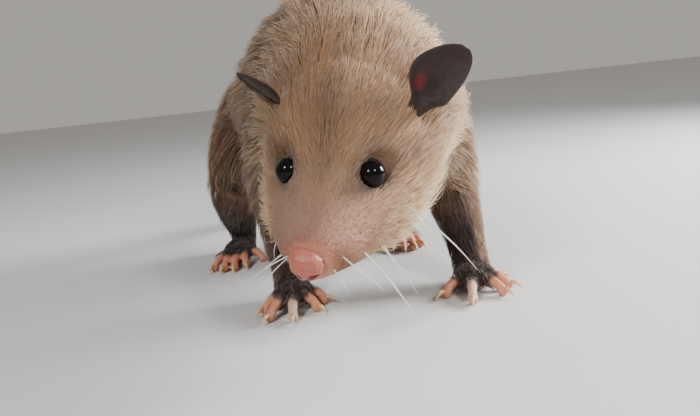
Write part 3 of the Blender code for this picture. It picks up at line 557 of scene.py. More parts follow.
def from_segment(points, a, b):
    """How far along a segment points lie, 0 to 1 within it, and their distance to it."""
    a, b = np.array(a), np.array(b)
    share = ((points - a) @ (b - a)) / ((b - a) @ (b - a))
    return share, np.linalg.norm(points - a - np.clip(share, 0, 1)[:, None] * (b - a), axis=1)


def polyline_gap(points, line):
    """Each point's distance to a line of points."""
    return np.min([from_segment(points, a, b)[1] for a, b in zip(line, line[1:])], axis=0)


def mixed(base, other, share):
    share = np.asarray(share)[:, None]
    return base * (1 - share) + other * share


def painted(base, *coats):
    """A colour with others laid over it in turn, each named and with its share at every point."""
    for name, share in coats:
        base = mixed(base, tint(name), share)
    return base


# The hair's way, depth and colour at any point of the skin

def around(points, name, rows):
    """Where points lie on a form: place along, height round the section, gap to its skin, and more."""
    drawn = skin_rows(name, rows)
    along, side, rise = row_axes(name, rows)
    nearest = np.empty(len(points), int)
    for start in range(0, len(points), 20000):
        part = points[start:start + 20000]
        nearest[start:start + 20000] = ((part[:, None] - drawn[None, :, :3]) ** 2).sum(-1).argmin(1)
    row = drawn[nearest]
    off = points - row[:, :3]
    step = np.linalg.norm(np.gradient(drawn[:, :3], axis=0), axis=1)[nearest]
    ahead = (off * along[nearest]).sum(1) / step
    place = np.clip(nearest + ahead, 0, len(rows) - 1)
    over = np.maximum(np.abs(ahead) - 1, 0) * step
    across, up = (off * side[nearest]).sum(1), (off * rise[nearest]).sum(1)
    high = up / np.where(up > 0, row[:, 4], row[:, 5])
    wide = across / (row[:, 3] * (1 - row[:, 6] * np.clip(high, 0, 1)))
    gap = (np.hypot(high, wide) - 1) * row[:, 3:6].min(1) + over
    coat = np.interp(place, np.arange(len(rows)), rows[:, 7]) * COAT_SHARE
    if name == "head":
        coat *= 1 - (1 - CROWN_SHARE) * np.clip(high, 0, 1)
    return {"place": place / (len(rows) - 1), "high": high, "wide": wide, "gap": gap, "coat": coat,
            "along": along[nearest], "turn": np.arctan2(high, wide) / (2 * math.pi) + 0.5}


def fields(points):
    """Every form's values at the points, with the share that each form has in them."""
    found = {name: around(points, name, rows) for name, rows in all_rows().items()}
    shares = np.array([np.exp(-np.maximum(form["gap"], 0) / BLEND) for form in found.values()])
    shares /= shares.sum(0)
    for form, share in zip(found.values(), shares):
        form["share"] = share
    return found


def hair_way(points, found):
    """The way that the hair lies at each point, before it is laid on the skin."""
    way = np.zeros((len(points), 3))
    for name, form in found.items():
        along = form["along"].copy()
        if name in ("trunk", "neck"):
            along[:, 2] -= 0.45 * np.abs(form["wide"])
        if name == "head":
            turn = np.array(head_frame())[:3, :3]
            low = smooth_step(0.7, -0.3, form["high"])
            outward = np.sign(form["wide"]) * 0.55 * low
            along += turn[:, 0] * outward[:, None] - turn[:, 2] * (0.45 * low)[:, None]
        way += along * form["share"][:, None]
    ears, outward = near_ears(points)
    return way + outward * (1.1 * ears)[:, None]


def coat_depth(found):
    return sum(form["coat"] * form["share"] for form in found.values())


def blotches(points, size, turn):
    """Soft patches of a size, between -1 and 1, from a few waves that cross."""
    made = np.zeros(len(points))
    for k in range(5):
        a, b = turn + 2.4 * k, 1.1 * k + turn
        way = np.array((math.cos(a) * math.cos(b), math.sin(a) * math.cos(b), math.sin(b)))
        made += np.sin(points @ way * (2 * math.pi / (size * (0.7 + 0.17 * k))) + 5.1 * k + turn)
    return np.clip(made / 2.5, -1, 1)


def near_ears(points):
    """How near points are to the root of an ear, and the way that ear points."""
    close, ways = np.zeros(len(points)), np.zeros((len(points), 3))
    for base, along, _, _, root in EARS.values():
        foot = np.array(base + root * 0.5)
        share = np.exp(-(np.linalg.norm(points - foot, axis=1) / 0.013) ** 2)
        ways[share > close] = np.array(along.normalized())
        close = np.maximum(close, share)
    return close, ways


def hair_sizes(points, found):
    """Length, width, height over the skin and number of the hairs at each point."""
    depth = coat_depth(found)
    back = in_head(points)[:, 1]
    head = found["head"]["share"]
    legs = sum(found[name]["share"] for name in LIMBS)
    ears, _ = near_ears(points)
    jaw = head * smooth_step(0.15, -0.35, found["head"]["high"]) * smooth_step(0.016, 0.034, back)
    cheek = jaw * smooth_step(0.045, 0.070, back)
    length = sizes().short_hair + sizes().long_hair * depth / COAT_SHARE
    length += LEG_HAIR * legs + JAW_HAIR * (jaw + ears)
    lift = depth + 0.0035 * ears + 0.0018 * jaw + 0.0025 * cheek + 0.0012 * legs
    width = sizes().hair_width * (1 + length / 0.045) * (1 - 0.38 * head)
    layers = 1 + 0.5 * ears - 0.70 * legs * smooth_step(0.090, 0.060, points[:, 2])
    return length, width, lift, layers


def face_markings(points, head):
    """Pale cheeks, a pink muzzle, a stripe down the forehead and dark patches by the eyes and ears."""
    places = in_head(points)
    side, back, up = places.T
    high = head["high"]
    cheek = smooth_step(0.45, -0.35, high) * smooth_step(0.014, 0.045, back)
    jaw = 0.75 * smooth_step(0.15, -0.45, high) * smooth_step(0.010, 0.022, back)
    pink = smooth_step(0.052, 0.016, back) * (1 - 0.85 * smooth_step(0.40, -0.45, high))
    broad = 0.0046 + 0.0030 * np.exp(-((back - 0.066) / 0.012) ** 2)
    stripe = np.exp(-(side / broad) ** 2) * smooth_step(0.030, 0.056, back) * smooth_step(0.125, 0.085, back)
    by_ear = np.exp(-(np.linalg.norm(folded(places) - EAR_PATCH, axis=1) / 0.020) ** 2)
    by_eye = [("socket", share * close_to(folded(places), place, edge, core))
              for place, share, edge, core in EYE_PATCHES]
    spots = smooth_step(0.1, 0.9, blotches(points, 0.013, 2.1)) * smooth_step(0.050, 0.030, back)
    return painted(
        tint("forehead"), ("cheek", np.maximum(cheek, jaw)), ("muzzle", pink),
        ("stripe", 0.78 * stripe * (up > -0.01)), ("stripe", 0.62 * by_ear), *by_eye, ("nose", 0.15 * spots),
        ("nose", 0.45 * smooth_step(0.020, 0.009, back)), ("nose", on_nose(*places.T)))


def neck_markings(points, neck):
    """Sandy above, darker on the right and pale on the left of the throat, partly painted shade and light."""
    wide = neck["wide"]
    # Partly painted shade and light: dark patches and darker fur lean to the right side, paler fur to the
    # left of the throat
    dark = smooth_step(0.1, 0.8, blotches(points, 0.040, 1.9) - 0.6 * wide)
    return painted(
        tint("shoulder"), ("forehead", 0.6 * smooth_step(0.5, 1.0, neck["high"])),
        ("flank", 0.75 * smooth_step(0.1, -0.9, wide)),
        ("cheek", 0.60 * smooth_step(-0.1, 0.6, wide) * smooth_step(0.30, 0.60, neck["place"])),
        ("thigh", 0.45 * dark))


def trunk_markings(patches, trunk):
    """Sandy shoulders that turn to brown flanks and a dark rump, with dark patches; the left side is paler
    and the right darker, partly painted light and shade.
    """
    place, high, wide = trunk["place"], trunk["high"], trunk["wide"]
    # Partly painted light and shade: the left shoulder paler, the sandy top reaching lower on the left, and
    # the dark patches more on the right
    pale = smooth_step(-0.1, 0.6, wide) * smooth_step(0.42, 0.12, place) * smooth_step(-0.2, 0.4, high)
    dark = smooth_step(0.0, 0.75, patches - 0.35 * wide) * smooth_step(0.05, 0.18, place)
    return painted(
        tint("flank"), ("shoulder", smooth_step(-0.15, 0.65, high + 0.35 * wide)), ("cheek", 0.55 * pale),
        ("rump", 0.85 * smooth_step(0.30, 0.85, place)), ("thigh", 0.75 * dark))


def leg_markings(patches, leg, name):
    """Dark below and brown above, the forelegs with a pale outer edge, made much stronger on the left foreleg
    by painted light.
    """
    place, coats = leg["place"], []
    if not name.startswith("sole"):
        coats += [
            ("thigh", smooth_step(0.70, 0.42, place)), ("flank", smooth_step(0.48, 0.15, place)),
            ("flank", 0.45 * smooth_step(0.0, 0.9, patches) * smooth_step(0.75, 0.45, place))]
    if name.startswith("fore"):
        # Painted light: the left foreleg's edge is far paler than the right's
        hand, share = (1, 0.85) if name.endswith("left") else (-1, 0.25)
        edge = smooth_step(0.20, 0.80, leg["wide"] * hand + 0.5 * smooth_step(0.60, 0.30, place))
        coats.append(("leg_edge", share * edge * smooth_step(0.99, 0.88, place)))
    return painted(tint("leg"), *coats)


def markings(points, found):
    """The colour of skin and hair at each point."""
    patches = blotches(points, 0.055, 0.7)
    along_tail = found["tail"]["place"]
    colours = {
        "head": face_markings(points, found["head"]),
        "neck": neck_markings(points, found["neck"]),
        "trunk": trunk_markings(patches, found["trunk"]),
        "tail": painted(tint("tail_base"), ("tail", smooth_step(0.30, 0.42, along_tail)),
                        ("rump", smooth_step(0.20, 0.10, along_tail))),
    }
    colours.update({name: leg_markings(patches, found[name], name) for name in LIMBS})
    return sum(colours[name] * form["share"][:, None] for name, form in found.items())


def nose_reach(side, back, up):
    """How far out a place lies from the middle of the nose's bare pad, whose edge is at 1."""
    return np.sqrt(((side + 0.0016) / 0.0106) ** 2 + ((up - 0.0005) / 0.0092) ** 2
                   + (np.maximum(back - 0.0005, 0) / 0.0096) ** 2)


def on_nose(side, back, up):
    """How surely a place on the head lies on the bare pad of the nose."""
    return smooth_step(1.12, 0.98, nose_reach(side, back, up))


def on_paw(points):
    """How surely points lie on bare digits: 0 on a leg, 1 on a digit."""
    bare = np.zeros(len(points))
    for (centre, radii), digits in PAWS.values():
        for root, tip in digits:
            along, gap = from_segment(points[:, :2], root, tip)
            on = (gap < 0.0055) & (points[:, 2] < 0.0145)
            bare = np.maximum(bare, np.where(on, smooth_step(0.24, 0.44, along), 0))
        under = np.linalg.norm(points[:, :2] - np.array(centre)[:2], axis=1) < max(radii) + 0.004
        bare = np.maximum(bare, np.where(under & (points[:, 2] < 0.0045), 1, 0))
    return bare


def on_middle_digit(points):
    """How surely points lie on the pale finger of a hand."""
    fingers = (PAWS["fore_left"][1][1], PAWS["fore_right"][1][2])
    gaps = [from_segment(points[:, :2], root, tip)[1] for root, tip in fingers]
    return smooth_step(0.0062, 0.0044, np.min(gaps, axis=0))


# Materials

def add_node(tree, kind, inputs=None, **settings):
    """A node with its settings, input values and links."""
    node = tree.nodes.new("ShaderNode" + kind)
    for name, value in settings.items():
        setattr(node, name, value)
    for name, value in (inputs or {}).items():
        if isinstance(value, bpy.types.NodeSocket):
            tree.links.new(value, node.inputs[name])
        else:
            node.inputs[name].default_value = value
    return node


def new_material(name, **values):
    """A material with its Principled shader's own numbers set."""
    made = bpy.data.materials.new(name)
    made.use_nodes = True
    shader = made.node_tree.nodes["Principled BSDF"]
    for key, value in values.items():
        shader.inputs[key.replace("_", " ")].default_value = value
    return made, made.node_tree, shader


def bump(tree, shader, height, strength, distance):
    node = add_node(tree, "Bump", {"Height": height, "Strength": strength, "Distance": distance})
    tree.links.new(node.outputs["Normal"], shader.inputs["Normal"])


def own_colour(tree, shader, spot_mm, change):
    """The piece's own colours, a little lighter and darker in spots of a size."""
    base = add_node(tree, "Attribute", attribute_name="tint")
    where = add_node(tree, "TexCoord")
    noise = add_node(
        tree, "TexNoise", {"Vector": where.outputs["Object"], "Scale": 1000 / spot_mm, "Detail": 3.0})
    bright = add_node(tree, "MapRange", {"Value": noise.outputs["Fac"], "From Min": 0.3, "From Max": 0.7,
                                         "To Min": 1 - change, "To Max": 1 + change})
    made = add_node(
        tree, "VectorMath", {0: base.outputs["Color"], 1: bright.outputs["Result"]}, operation="MULTIPLY")
    tree.links.new(made.outputs["Vector"], shader.inputs["Base Color"])
    return where, noise


def fur_material(name, roughness, sheen):
    """Keratin hair in fine locks: a soft shine along each one and a pale sheen at grazing angles."""
    made, tree, shader = new_material(
        name, Roughness=roughness, IOR=1.55, Specular_IOR_Level=0.30, Sheen_Weight=sheen,
        Sheen_Roughness=0.45)
    own_colour(tree, shader, 2.5, 0.10)
    return made


def short_fur_material():
    """Short dense fur over skin: matt, with the fine streaks of single hairs at half a millimetre."""
    made, tree, shader = new_material(
        "short_fur_over_skin", Roughness=0.78, IOR=1.45, Specular_IOR_Level=0.25, Sheen_Weight=0.25,
        Sheen_Roughness=0.5, Subsurface_Weight=0.06, Subsurface_Scale=0.003)
    where, _ = own_colour(tree, shader, 1.6, 0.08)
    hair = add_node(tree, "TexNoise", {"Vector": where.outputs["Object"], "Scale": 1900.0, "Detail": 2.0})
    bump(tree, shader, hair.outputs["Fac"], 0.5, 0.0003)
    return made


def bare_skin_material():
    """Bare skin of fingers and toes: moist, lit from within, finely wrinkled every 1 to 2 mm."""
    made, tree, shader = new_material(
        "bare_paw_skin", Roughness=0.48, IOR=1.40, Specular_IOR_Level=0.45, Subsurface_Weight=0.18,
        Subsurface_Scale=0.004)
    shader.inputs["Subsurface Radius"].default_value = (1.0, 0.40, 0.25)
    where, _ = own_colour(tree, shader, 3.0, 0.12)
    fold = add_node(tree, "TexVoronoi", {"Vector": where.outputs["Object"], "Scale": 750.0},
                    feature="DISTANCE_TO_EDGE")
    bump(tree, shader, fold.outputs["Distance"], 0.45, 0.0005)
    return made


def nose_material():
    """Bare nose pad: damp pebbled skin, pebbles about 0.6 mm."""
    made, tree, shader = new_material(
        "damp_nose_skin", Roughness=0.36, IOR=1.40, Specular_IOR_Level=0.5, Subsurface_Weight=0.22,
        Subsurface_Scale=0.004)
    shader.inputs["Subsurface Radius"].default_value = (1.0, 0.40, 0.25)
    where, _ = own_colour(tree, shader, 2.4, 0.10)
    pebble = add_node(tree, "TexVoronoi", {"Vector": where.outputs["Object"], "Scale": 1500.0})
    bump(tree, shader, pebble.outputs["Distance"], 0.35, 0.0003)
    return made


def tail_material():
    """Scaly tail skin: rings of small dry scales 1.6 mm long, with fine hair between them left out."""
    made, tree, shader = new_material(
        "scaly_tail_skin", Roughness=0.55, IOR=1.45, Specular_IOR_Level=0.4, Subsurface_Weight=0.05,
        Subsurface_Scale=0.003)
    own_colour(tree, shader, 6.0, 0.14)
    along = add_node(tree, "Attribute", attribute_name="tail_along")
    rounds = add_node(tree, "Attribute", attribute_name="tail_round")
    both = add_node(tree, "CombineXYZ", {"X": along.outputs["Fac"], "Y": rounds.outputs["Fac"]})
    scales = add_node(tree, "TexBrick", {"Vector": both.outputs["Vector"], "Scale": 1.0, "Mortar Size": 0.12,
                                         "Mortar Smooth": 0.8, "Brick Width": 1.3, "Row Height": 1.6},
                      offset=0.5)
    bump(tree, shader, scales.outputs["Fac"], -0.6, 0.0004)
    return made


# Pieces

def finished(piece, material_list, replaced=(), smooth=True):
    """Moves a piece to the CAD model's place, gives it its materials and hangs it on the root body."""
    piece.data.transform(Matrix.Translation(shift()))
    piece.data.materials.clear()
    for item in material_list:
        piece.data.materials.append(item)
    if smooth:
        piece.data.polygons.foreach_set("use_smooth", [True] * len(piece.data.polygons))
    piece.data.update()
    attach(piece, "root")
    if replaced:
        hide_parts(*replaced)


def set_tint(mesh, colours):
    layer = mesh.attributes.get("tint") or mesh.attributes.new("tint", "FLOAT_COLOR", "POINT")
    layer.data.foreach_set("color", np.hstack([colours, np.ones((len(colours), 1))]).ravel())


def head_skin_point(back, angle):
    """A point on the head's skin, in the head's own axes, at an angle round the section."""
    rows = smooth_rows([(0.0, *section) for section in HEAD_SECTIONS], 3)
    level, width, above, below, narrow, coat = (np.interp(back, rows[:, 1], rows[:, k]) for k in range(2, 8))
    c, s = math.cos(math.radians(angle)), math.sin(math.radians(angle))
    drawn = COAT_SHARE * coat
    height = (above - drawn * CROWN_SHARE if s > 0 else below - drawn) * s
    return np.array(((width - drawn) * c * (1 - narrow * max(0.0, s)), back, level + height))


def mouth_line():
    left = [head_skin_point(back, angle) for back, angle in MOUTH]
    return left + [head_skin_point(0.0085, -90)] + [mirrored(point, -1) for point in left[::-1]]


def refined(mesh, by_eye, tip, by_lips):
    """Faces near the eyes, the nose's tip and the lips cut finer, with the new vertices eased in."""
    work = bmesh.new()
    work.from_mesh(mesh)
    work.faces.ensure_lookup_table()
    centres = in_head(np.array([face.calc_center_median() for face in work.faces]))
    chosen = (centres[:, 1] < tip) | (polyline_gap(centres, mouth_line()) < by_lips)
    for hand in (-1, 1):
        chosen |= np.linalg.norm(centres - mirrored(EYEBALL, hand), axis=1) < by_eye
    edges = dict.fromkeys(edge for face, take in zip(work.faces, chosen) if take for edge in face.edges)
    old = len(work.verts)
    bmesh.ops.subdivide_edges(work, edges=list(edges), cuts=1, use_grid_fill=True)
    bmesh.ops.triangulate(work, faces=work.faces)
    work.verts.ensure_lookup_table()
    for _ in range(3):
        bmesh.ops.smooth_vert(
            work, verts=work.verts[old:], factor=0.4, use_axis_x=True, use_axis_y=True, use_axis_z=True)
    work.to_mesh(mesh)
    work.free()


def lid_profile(angle, around_axis):
    """How far the skin stands off the eye's centre at an angle from the lids' axis."""
    opening = 58 + 5 * np.cos(2 * around_axis)
    inside = smooth_step(opening + 1.5, opening - 2.0, angle)
    rim = EYE_RADIUS + 0.00075 * smooth_step(opening + 30, opening + 6, angle)
    return rim * (1 - inside) + EYE_RADIUS * 0.80 * inside, smooth_step(opening + 34, opening + 8, angle)


def lids_shaped(points, hand):
    """Face vertices drawn onto one eye's lids, and those in front of the ball sunk behind it."""
    axis = mirrored(LID_WAY.normalized(), hand)
    off = points - mirrored(EYEBALL, hand)
    far = np.linalg.norm(off, axis=1)
    angle = np.degrees(np.arccos(np.clip((off @ axis) / far, -1, 1)))
    corner = mirrored(EYE_CORNER_WAY, hand)
    corner -= axis * (corner @ axis)
    corner /= np.linalg.norm(corner)
    stand, hold = lid_profile(angle, np.arctan2(off @ np.cross(axis, corner), off @ corner))
    close = far < EYE_RADIUS * 2.2
    hidden = close & (far < EYE_RADIUS + 0.0003) & (angle < 115)
    hold = np.where(hidden, np.maximum(hold * close, 0.6), hold * close)
    target = mirrored(EYEBALL, hand) + off / far[:, None] * stand[:, None]
    return mixed(points, target, hold)


def face_shaped(points, normals):
    """Face vertices moved for lids, brows, whisker pads, nostrils, mouth and lips, in the head's own axes."""
    shaped = points.copy()

    def swell(height):
        shaped[:] += normals * height[:, None]

    shaped[:, 0] *= 1 - 0.19 * smooth_step(0.022, 0.004, shaped[:, 1])
    for hand in (-1, 1):
        swell(0.0014 * close_to(shaped, mirrored(WHISKER_PAD, hand), 0.0115, 0.002))
        swell(0.0010 * close_to(shaped, mirrored(BROW, hand), 0.012, 0.002))
        shaped[:] = lids_shaped(shaped, hand)
        hole = polyline_gap(shaped, mirrored(NOSTRIL, hand))
        swell(-0.0030 * smooth_step(0.0023, 0.0008, hole))
        swell(0.0005 * smooth_step(0.0038, 0.0026, hole) * smooth_step(0.0018, 0.0025, hole))
    pad = nose_reach(*shaped.T)
    swell(0.0006 * smooth_step(1.0, 0.6, pad) - 0.0010 * np.exp(-((pad - 1.08) / 0.085) ** 2))
    swell(-0.0008 * smooth_step(0.0012, 0.0003, polyline_gap(shaped, CLEFT)))
    lips = polyline_gap(shaped, mouth_line())
    swell(-0.0012 * smooth_step(0.0011, 0.0003, lips))
    swell(0.0004 * smooth_step(0.0032, 0.0016, lips) * smooth_step(0.0008, 0.0014, lips))
    return shaped


def face_shade(points, colours):
    """Painted shade in the nostrils and along the mouth line, and darker moles and lid edges on the skin."""
    near = folded(points)
    dark, lid, crease_shade = (np.array(linear(code)[:3]) for code in (NOSTRIL_SHADE_AND_MOLE, LID_DARK, MOUTH_CREASE_SHADE))
    # Painted shade inside the nostrils
    colours = mixed(colours, dark, 0.95 * smooth_step(0.0024, 0.0012, polyline_gap(near, NOSTRIL)))
    for place in MOLES:
        colours = mixed(colours, dark, 0.45 * close_to(near, place, 0.0014, 0.0004))
    colours = mixed(colours, tint("socket"), 0.92 * close_to(near, EYEBALL, 0.0138, 0.0108))
    colours = mixed(colours, lid, 0.96 * close_to(near, EYEBALL, 0.0093, 0.0083))
    # Painted shade along the crease of the closed mouth
    return mixed(colours, crease_shade, 0.75 * smooth_step(0.0012, 0.0004, polyline_gap(points, mouth_line())))


def digit_line(root, tip, clawed):
    """A digit's root, its way, its length without the claw and the middle of its pad."""
    root = Vector((*root, DIGIT_ROOT_HEIGHT))
    reach = Vector((*tip, DIGIT_ROOT_HEIGHT)) - root
    way = reach.normalized()
    length = reach.length - (CLAW_LENGTH if clawed else 0.0)
    pad = root + way * (length - DIGIT_RADIUS)
    pad.z = DIGIT_RADIUS * PAD_HEIGHT
    return root, way, length, pad


def paw_digits(paw):
    """Every digit of a paw as root, tip and whether it ends in a claw, which a hind thumb does not."""
    return [(root, tip, n > 0 or paw.startswith("fore")) for n, (root, tip) in enumerate(PAWS[paw][1])]


def paw_bodies():
    """The palm and digits of every paw."""
    made = []
    for paw, ((centre, radii), _) in PAWS.items():
        bpy.ops.mesh.primitive_uv_sphere_add(segments=32, ring_count=20, radius=1)
        palm = bpy.context.object
        palm.data.transform(Matrix.Translation(Vector(centre)) @ Matrix.Diagonal((*radii, 1)))
        made.append(palm)
        for root, tip, clawed in paw_digits(paw):
            root, way, length, pad = digit_line(root, tip, clawed)
            knuckle = root + way * length * 0.42
            knuckle.z = KNUCKLE_HEIGHT
            joint = root + way * length * 0.72
            joint.z = KNUCKLE_HEIGHT * 0.72
            around_it = [DIGIT_RADIUS * share for share in (1.10, 0.95, 0.80, 0.98)]
            made.append(tube("digit", (root, knuckle, joint, pad), around_it, count=16, dome=1.0))
    return made


def nose_swellings():
    """Two round forms side by side that make the nose's tip broad."""
    made = []
    for hand in (-1, 1):
        bpy.ops.mesh.primitive_uv_sphere_add(segments=24, ring_count=16, radius=1)
        swell = bpy.context.object
        place = Matrix.Translation(Vector((hand * 0.0038, 0.0035, -0.0005)))
        swell.data.transform(head_frame() @ place @ Matrix.Diagonal((0.0062, 0.0062, 0.0074, 1.0)))
        made.append(swell)
    return made


def weighted(item, name, weights):
    """A vertex group with a number for every vertex."""
    group = item.vertex_groups.new(name=name)
    for level in np.unique(weights):
        group.add([int(k) for k in np.nonzero(weights == level)[0]], float(level), "REPLACE")


def eased(item, rounds, group=""):
    """Smooths a mesh, all of it or as much as a vertex group says."""
    ease = item.modifiers.new("Smooth", "SMOOTH")
    ease.factor = 0.5
    ease.iterations = rounds
    ease.vertex_group = group
    apply_modifiers(item)


def thinned(skin):
    """Fewer triangles everywhere but on the face, and a few more left on the paws."""
    places = vertex_places(skin.data)
    head = in_head(places)
    face = (head[:, 1] < FACE_BACK) & (np.abs(head[:, 0]) < 0.06) & (head[:, 2] > -0.06)
    weighted(skin, "loose", np.where(face, 0.0, np.where(places[:, 2] < 0.018, 0.35, 1.0)))
    decimate = skin.modifiers.new("Decimate", "DECIMATE")
    decimate.ratio = min(1.0, SKIN_TRIANGLES / (2 * len(skin.data.polygons)))
    decimate.vertex_group = "loose"
    decimate.vertex_group_factor = 1.0
    apply_modifiers(skin)
    skin.vertex_groups.clear()


def make_skin():
    """One skin over head, body, legs, paws and tail, with the face worked finer."""
    forms = [loft(name, skin_rows(name, rows), row_axes(name, rows), 48) for name, rows in all_rows().items()]
    skin = joined(forms + nose_swellings() + paw_bodies(), "skin")
    remesh = skin.modifiers.new("Remesh", "REMESH")
    remesh.mode = "VOXEL"
    remesh.voxel_size = VOXEL
    eased(skin, 5)
    head = in_head(vertex_places(skin.data))
    nape = smooth_step(0.036, 0.014, np.abs(head[:, 1] - 0.112))
    nape *= (head[:, 2] > -0.01) & (np.abs(head[:, 0]) < 0.07)
    weighted(skin, "nape", np.round(nape * 10) / 10)
    eased(skin, 120, "nape")
    thinned(skin)
    for reaches in FINER:
        refined(skin.data, *reaches)
    places = vertex_places(skin.data)
    normals = np.empty(len(places) * 3)
    skin.data.vertex_normals.foreach_get("vector", normals)
    turn = np.array(head_frame())
    head, ways = in_head(places), normals.reshape(-1, 3) @ turn[:3, :3]
    front = (head[:, 1] < 0.085) & (np.abs(head[:, 0]) < 0.055) & (np.abs(head[:, 2]) < 0.05)
    places[front] = face_shaped(head[front], ways[front]) @ turn[:3, :3].T + turn[:3, 3]
    places[:, 2] = np.maximum(places[:, 2], 0.0)
    place_vertices(skin.data, places)
    return skin


class OPOSSUM_OT_skin(bpy.types.Operator):
    """One skin over head, body, legs, paws and tail"""

    bl_idname = "opossum.skin"
    bl_label = "Skin"

    def execute(self, context):
        skin = make_skin()
        places = vertex_places(skin.data)
        found = fields(places)
        colours = markings(places, found)
        head = in_head(places)
        front = head[:, 1] < 0.09
        bare = on_paw(places)
        colours = mixed(colours, tint("digit"), bare)
        colours = mixed(colours, tint("pale_digit"), 0.75 * bare * on_middle_digit(places))
        colours[front] = face_shade(head[front], colours[front])
        set_tint(skin.data, colours)
        along = skin.data.attributes.new("tail_along", "FLOAT", "POINT")
        rounds = skin.data.attributes.new("tail_round", "FLOAT", "POINT")
        rows = all_rows()["tail"]
        length = np.linalg.norm(np.diff(rows[:, :3], axis=0), axis=1).sum() * 1000
        along.data.foreach_set("value", found["tail"]["place"] * length)
        rounds.data.foreach_set("value", found["tail"]["turn"] * 30)
        kinds = np.zeros(len(places), int)
        kinds[bare > 0.5] = 1
        kinds[(on_nose(*head.T) > 0.5) & (np.abs(head[:, 0]) < 0.02)] = 2
        kinds[(found["tail"]["share"] > 0.6) & (found["tail"]["place"] > 0.18)] = 3
        first = np.empty(len(skin.data.polygons), int)
        skin.data.polygons.foreach_get("loop_start", first)
        corner = np.empty(len(skin.data.loops), int)
        skin.data.loops.foreach_get("vertex_index", corner)
        nodes = [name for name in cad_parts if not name.startswith(("ear", "eye", "claw"))]
        finished(skin, [short_fur_material(), bare_skin_material(), nose_material(), tail_material()],
                 nodes)
        skin.data.polygons.foreach_set("material_index", kinds[corner[first]])
        return {"FINISHED"}


class OPOSSUM_OT_eyes(bpy.types.Operator):
    """Both eyes, with a clear wet front"""

    bl_idname = "opossum.eyes"
    bl_label = "Eyes"

    def execute(self, context):
        # Cornea over a wide pupil: almost black and mirror-smooth, IOR of a cornea
        wet, _, shader = new_material("wet_eye", Roughness=0.03, IOR=1.376, Specular_IOR_Level=0.25)
        shader.inputs["Base Color"].default_value = context.scene.opossum_colours.eye
        for hand, name in ((1, "left"), (-1, "right")):
            bpy.ops.object.select_all(action="DESELECT")
            bpy.ops.mesh.primitive_uv_sphere_add(segments=48, ring_count=32, radius=EYE_RADIUS)
            ball = bpy.context.object
            ball.name = f"eyeball_{name}"
            place = EYEBALL * 1
            place.x *= hand
            ball.data.transform(Matrix.Translation(head_frame() @ place))
            finished(ball, [wet], [f"eye_{name}"])
        return {"FINISHED"}


def ear_place(entry, v, t, left, right):
    """A point of an ear's middle sheet, at millimetres up it and across it between its two edges."""
    base, along, face, hand, root = entry
    along = along.normalized()
    face = (face - along * face.dot(along)).normalized()
    across = along.cross(face) * hand
    share = max(0.0, v / EAR_ROWS[-1][0])
    sunk = max(0.0, (EAR_ROOT_START - v) / (EAR_ROOT_START - EAR_ROOT_END)) ** 1.5
    depth = EAR_CUP * (1 - 0.72 * share) * min(1.0, (right - left) / 20)
    bow = 1 - (2 * (t - left) / (right - left) - 1) ** 2
    point = base + along * (v * 0.001) + across * (t * 0.001) - face * (depth * bow)
    fold = 0.0003 * math.exp(-((v - 11) / 5) ** 2) * math.cos((t - left) * 0.8)
    return point + face * (EAR_CURL * share * share + fold) + root * sunk


def ear_shade(v, t, left, right, glow):
    """The ear's colour there: paler at the rim, red where light shows through and painted shade in the canal.
    """
    rim = min(t - left, right - t, EAR_ROWS[-1][0] - v)
    shade = tint("ear") * (1.0 + 0.5 * math.exp(-rim / 1.5))
    patch = math.exp(-(((v - 7.6) / 4.6) ** 2 + ((t + 8.6) / 3.2) ** 2) ** 1.5) * glow
    # Painted shade in the ear's canal
    canal = math.exp(-(((v - 10.5) / 4.8) ** 2 + ((t + 2.0) / 3.6) ** 2) ** 1.5)
    shade = shade * (1 - patch) + tint("ear_patch") * patch
    return shade * (1 - canal) + tint("ear_canal_shade") * canal


class OPOSSUM_OT_ears(bpy.types.Operator):
    """Both thin cupped ears"""

    bl_idname = "opossum.ears"
    bl_label = "Ears"

    def execute(self, context):
        # Thin bare skin over gristle: leathery, a little light comes through it, veins about 1 mm
        skin, tree, shader = new_material(
            "thin_ear_skin", Roughness=0.60, IOR=1.42, Specular_IOR_Level=0.25, Subsurface_Weight=0.12,
            Subsurface_Scale=0.003)
        _, noise = own_colour(tree, shader, 2.2, 0.14)
        bump(tree, shader, noise.outputs["Fac"], 0.35, 0.0004)
        for name, entry in EARS.items():
            ear = self.sheet(name.replace("ear", "ear_shell"), entry, 24)
            shell = ear.modifiers.new("Solidify", "SOLIDIFY")
            shell.thickness = 0.0010
            shell.offset = 0.0
            finer = ear.modifiers.new("Subdivision", "SUBSURF")
            finer.levels = 1
            finer.render_levels = 1
            apply_modifiers(ear)
            finished(ear, [skin], [name])
        return {"FINISHED"}

    def sheet(self, name, entry, steps):
        """An ear's middle sheet, with its colours."""
        mesh = bmesh.new()
        grid, colours = [], []
        for v, left, right in smooth_rows(EAR_ROWS, 4):
            across = [left + (right - left) * k / steps for k in range(steps + 1)]
            grid.append([mesh.verts.new(ear_place(entry, v, t, left, right)) for t in across])
            colours += [ear_shade(v, t, left, right, 0.9 if entry[3] > 0 else 0.1) for t in across]
        for a, b in zip(grid, grid[1:]):
            for k in range(steps):
                mesh.faces.new((a[k], a[k + 1], b[k + 1], b[k]))
        ear = new_object(name, mesh)
        set_tint(ear.data, np.array(colours))
        return ear


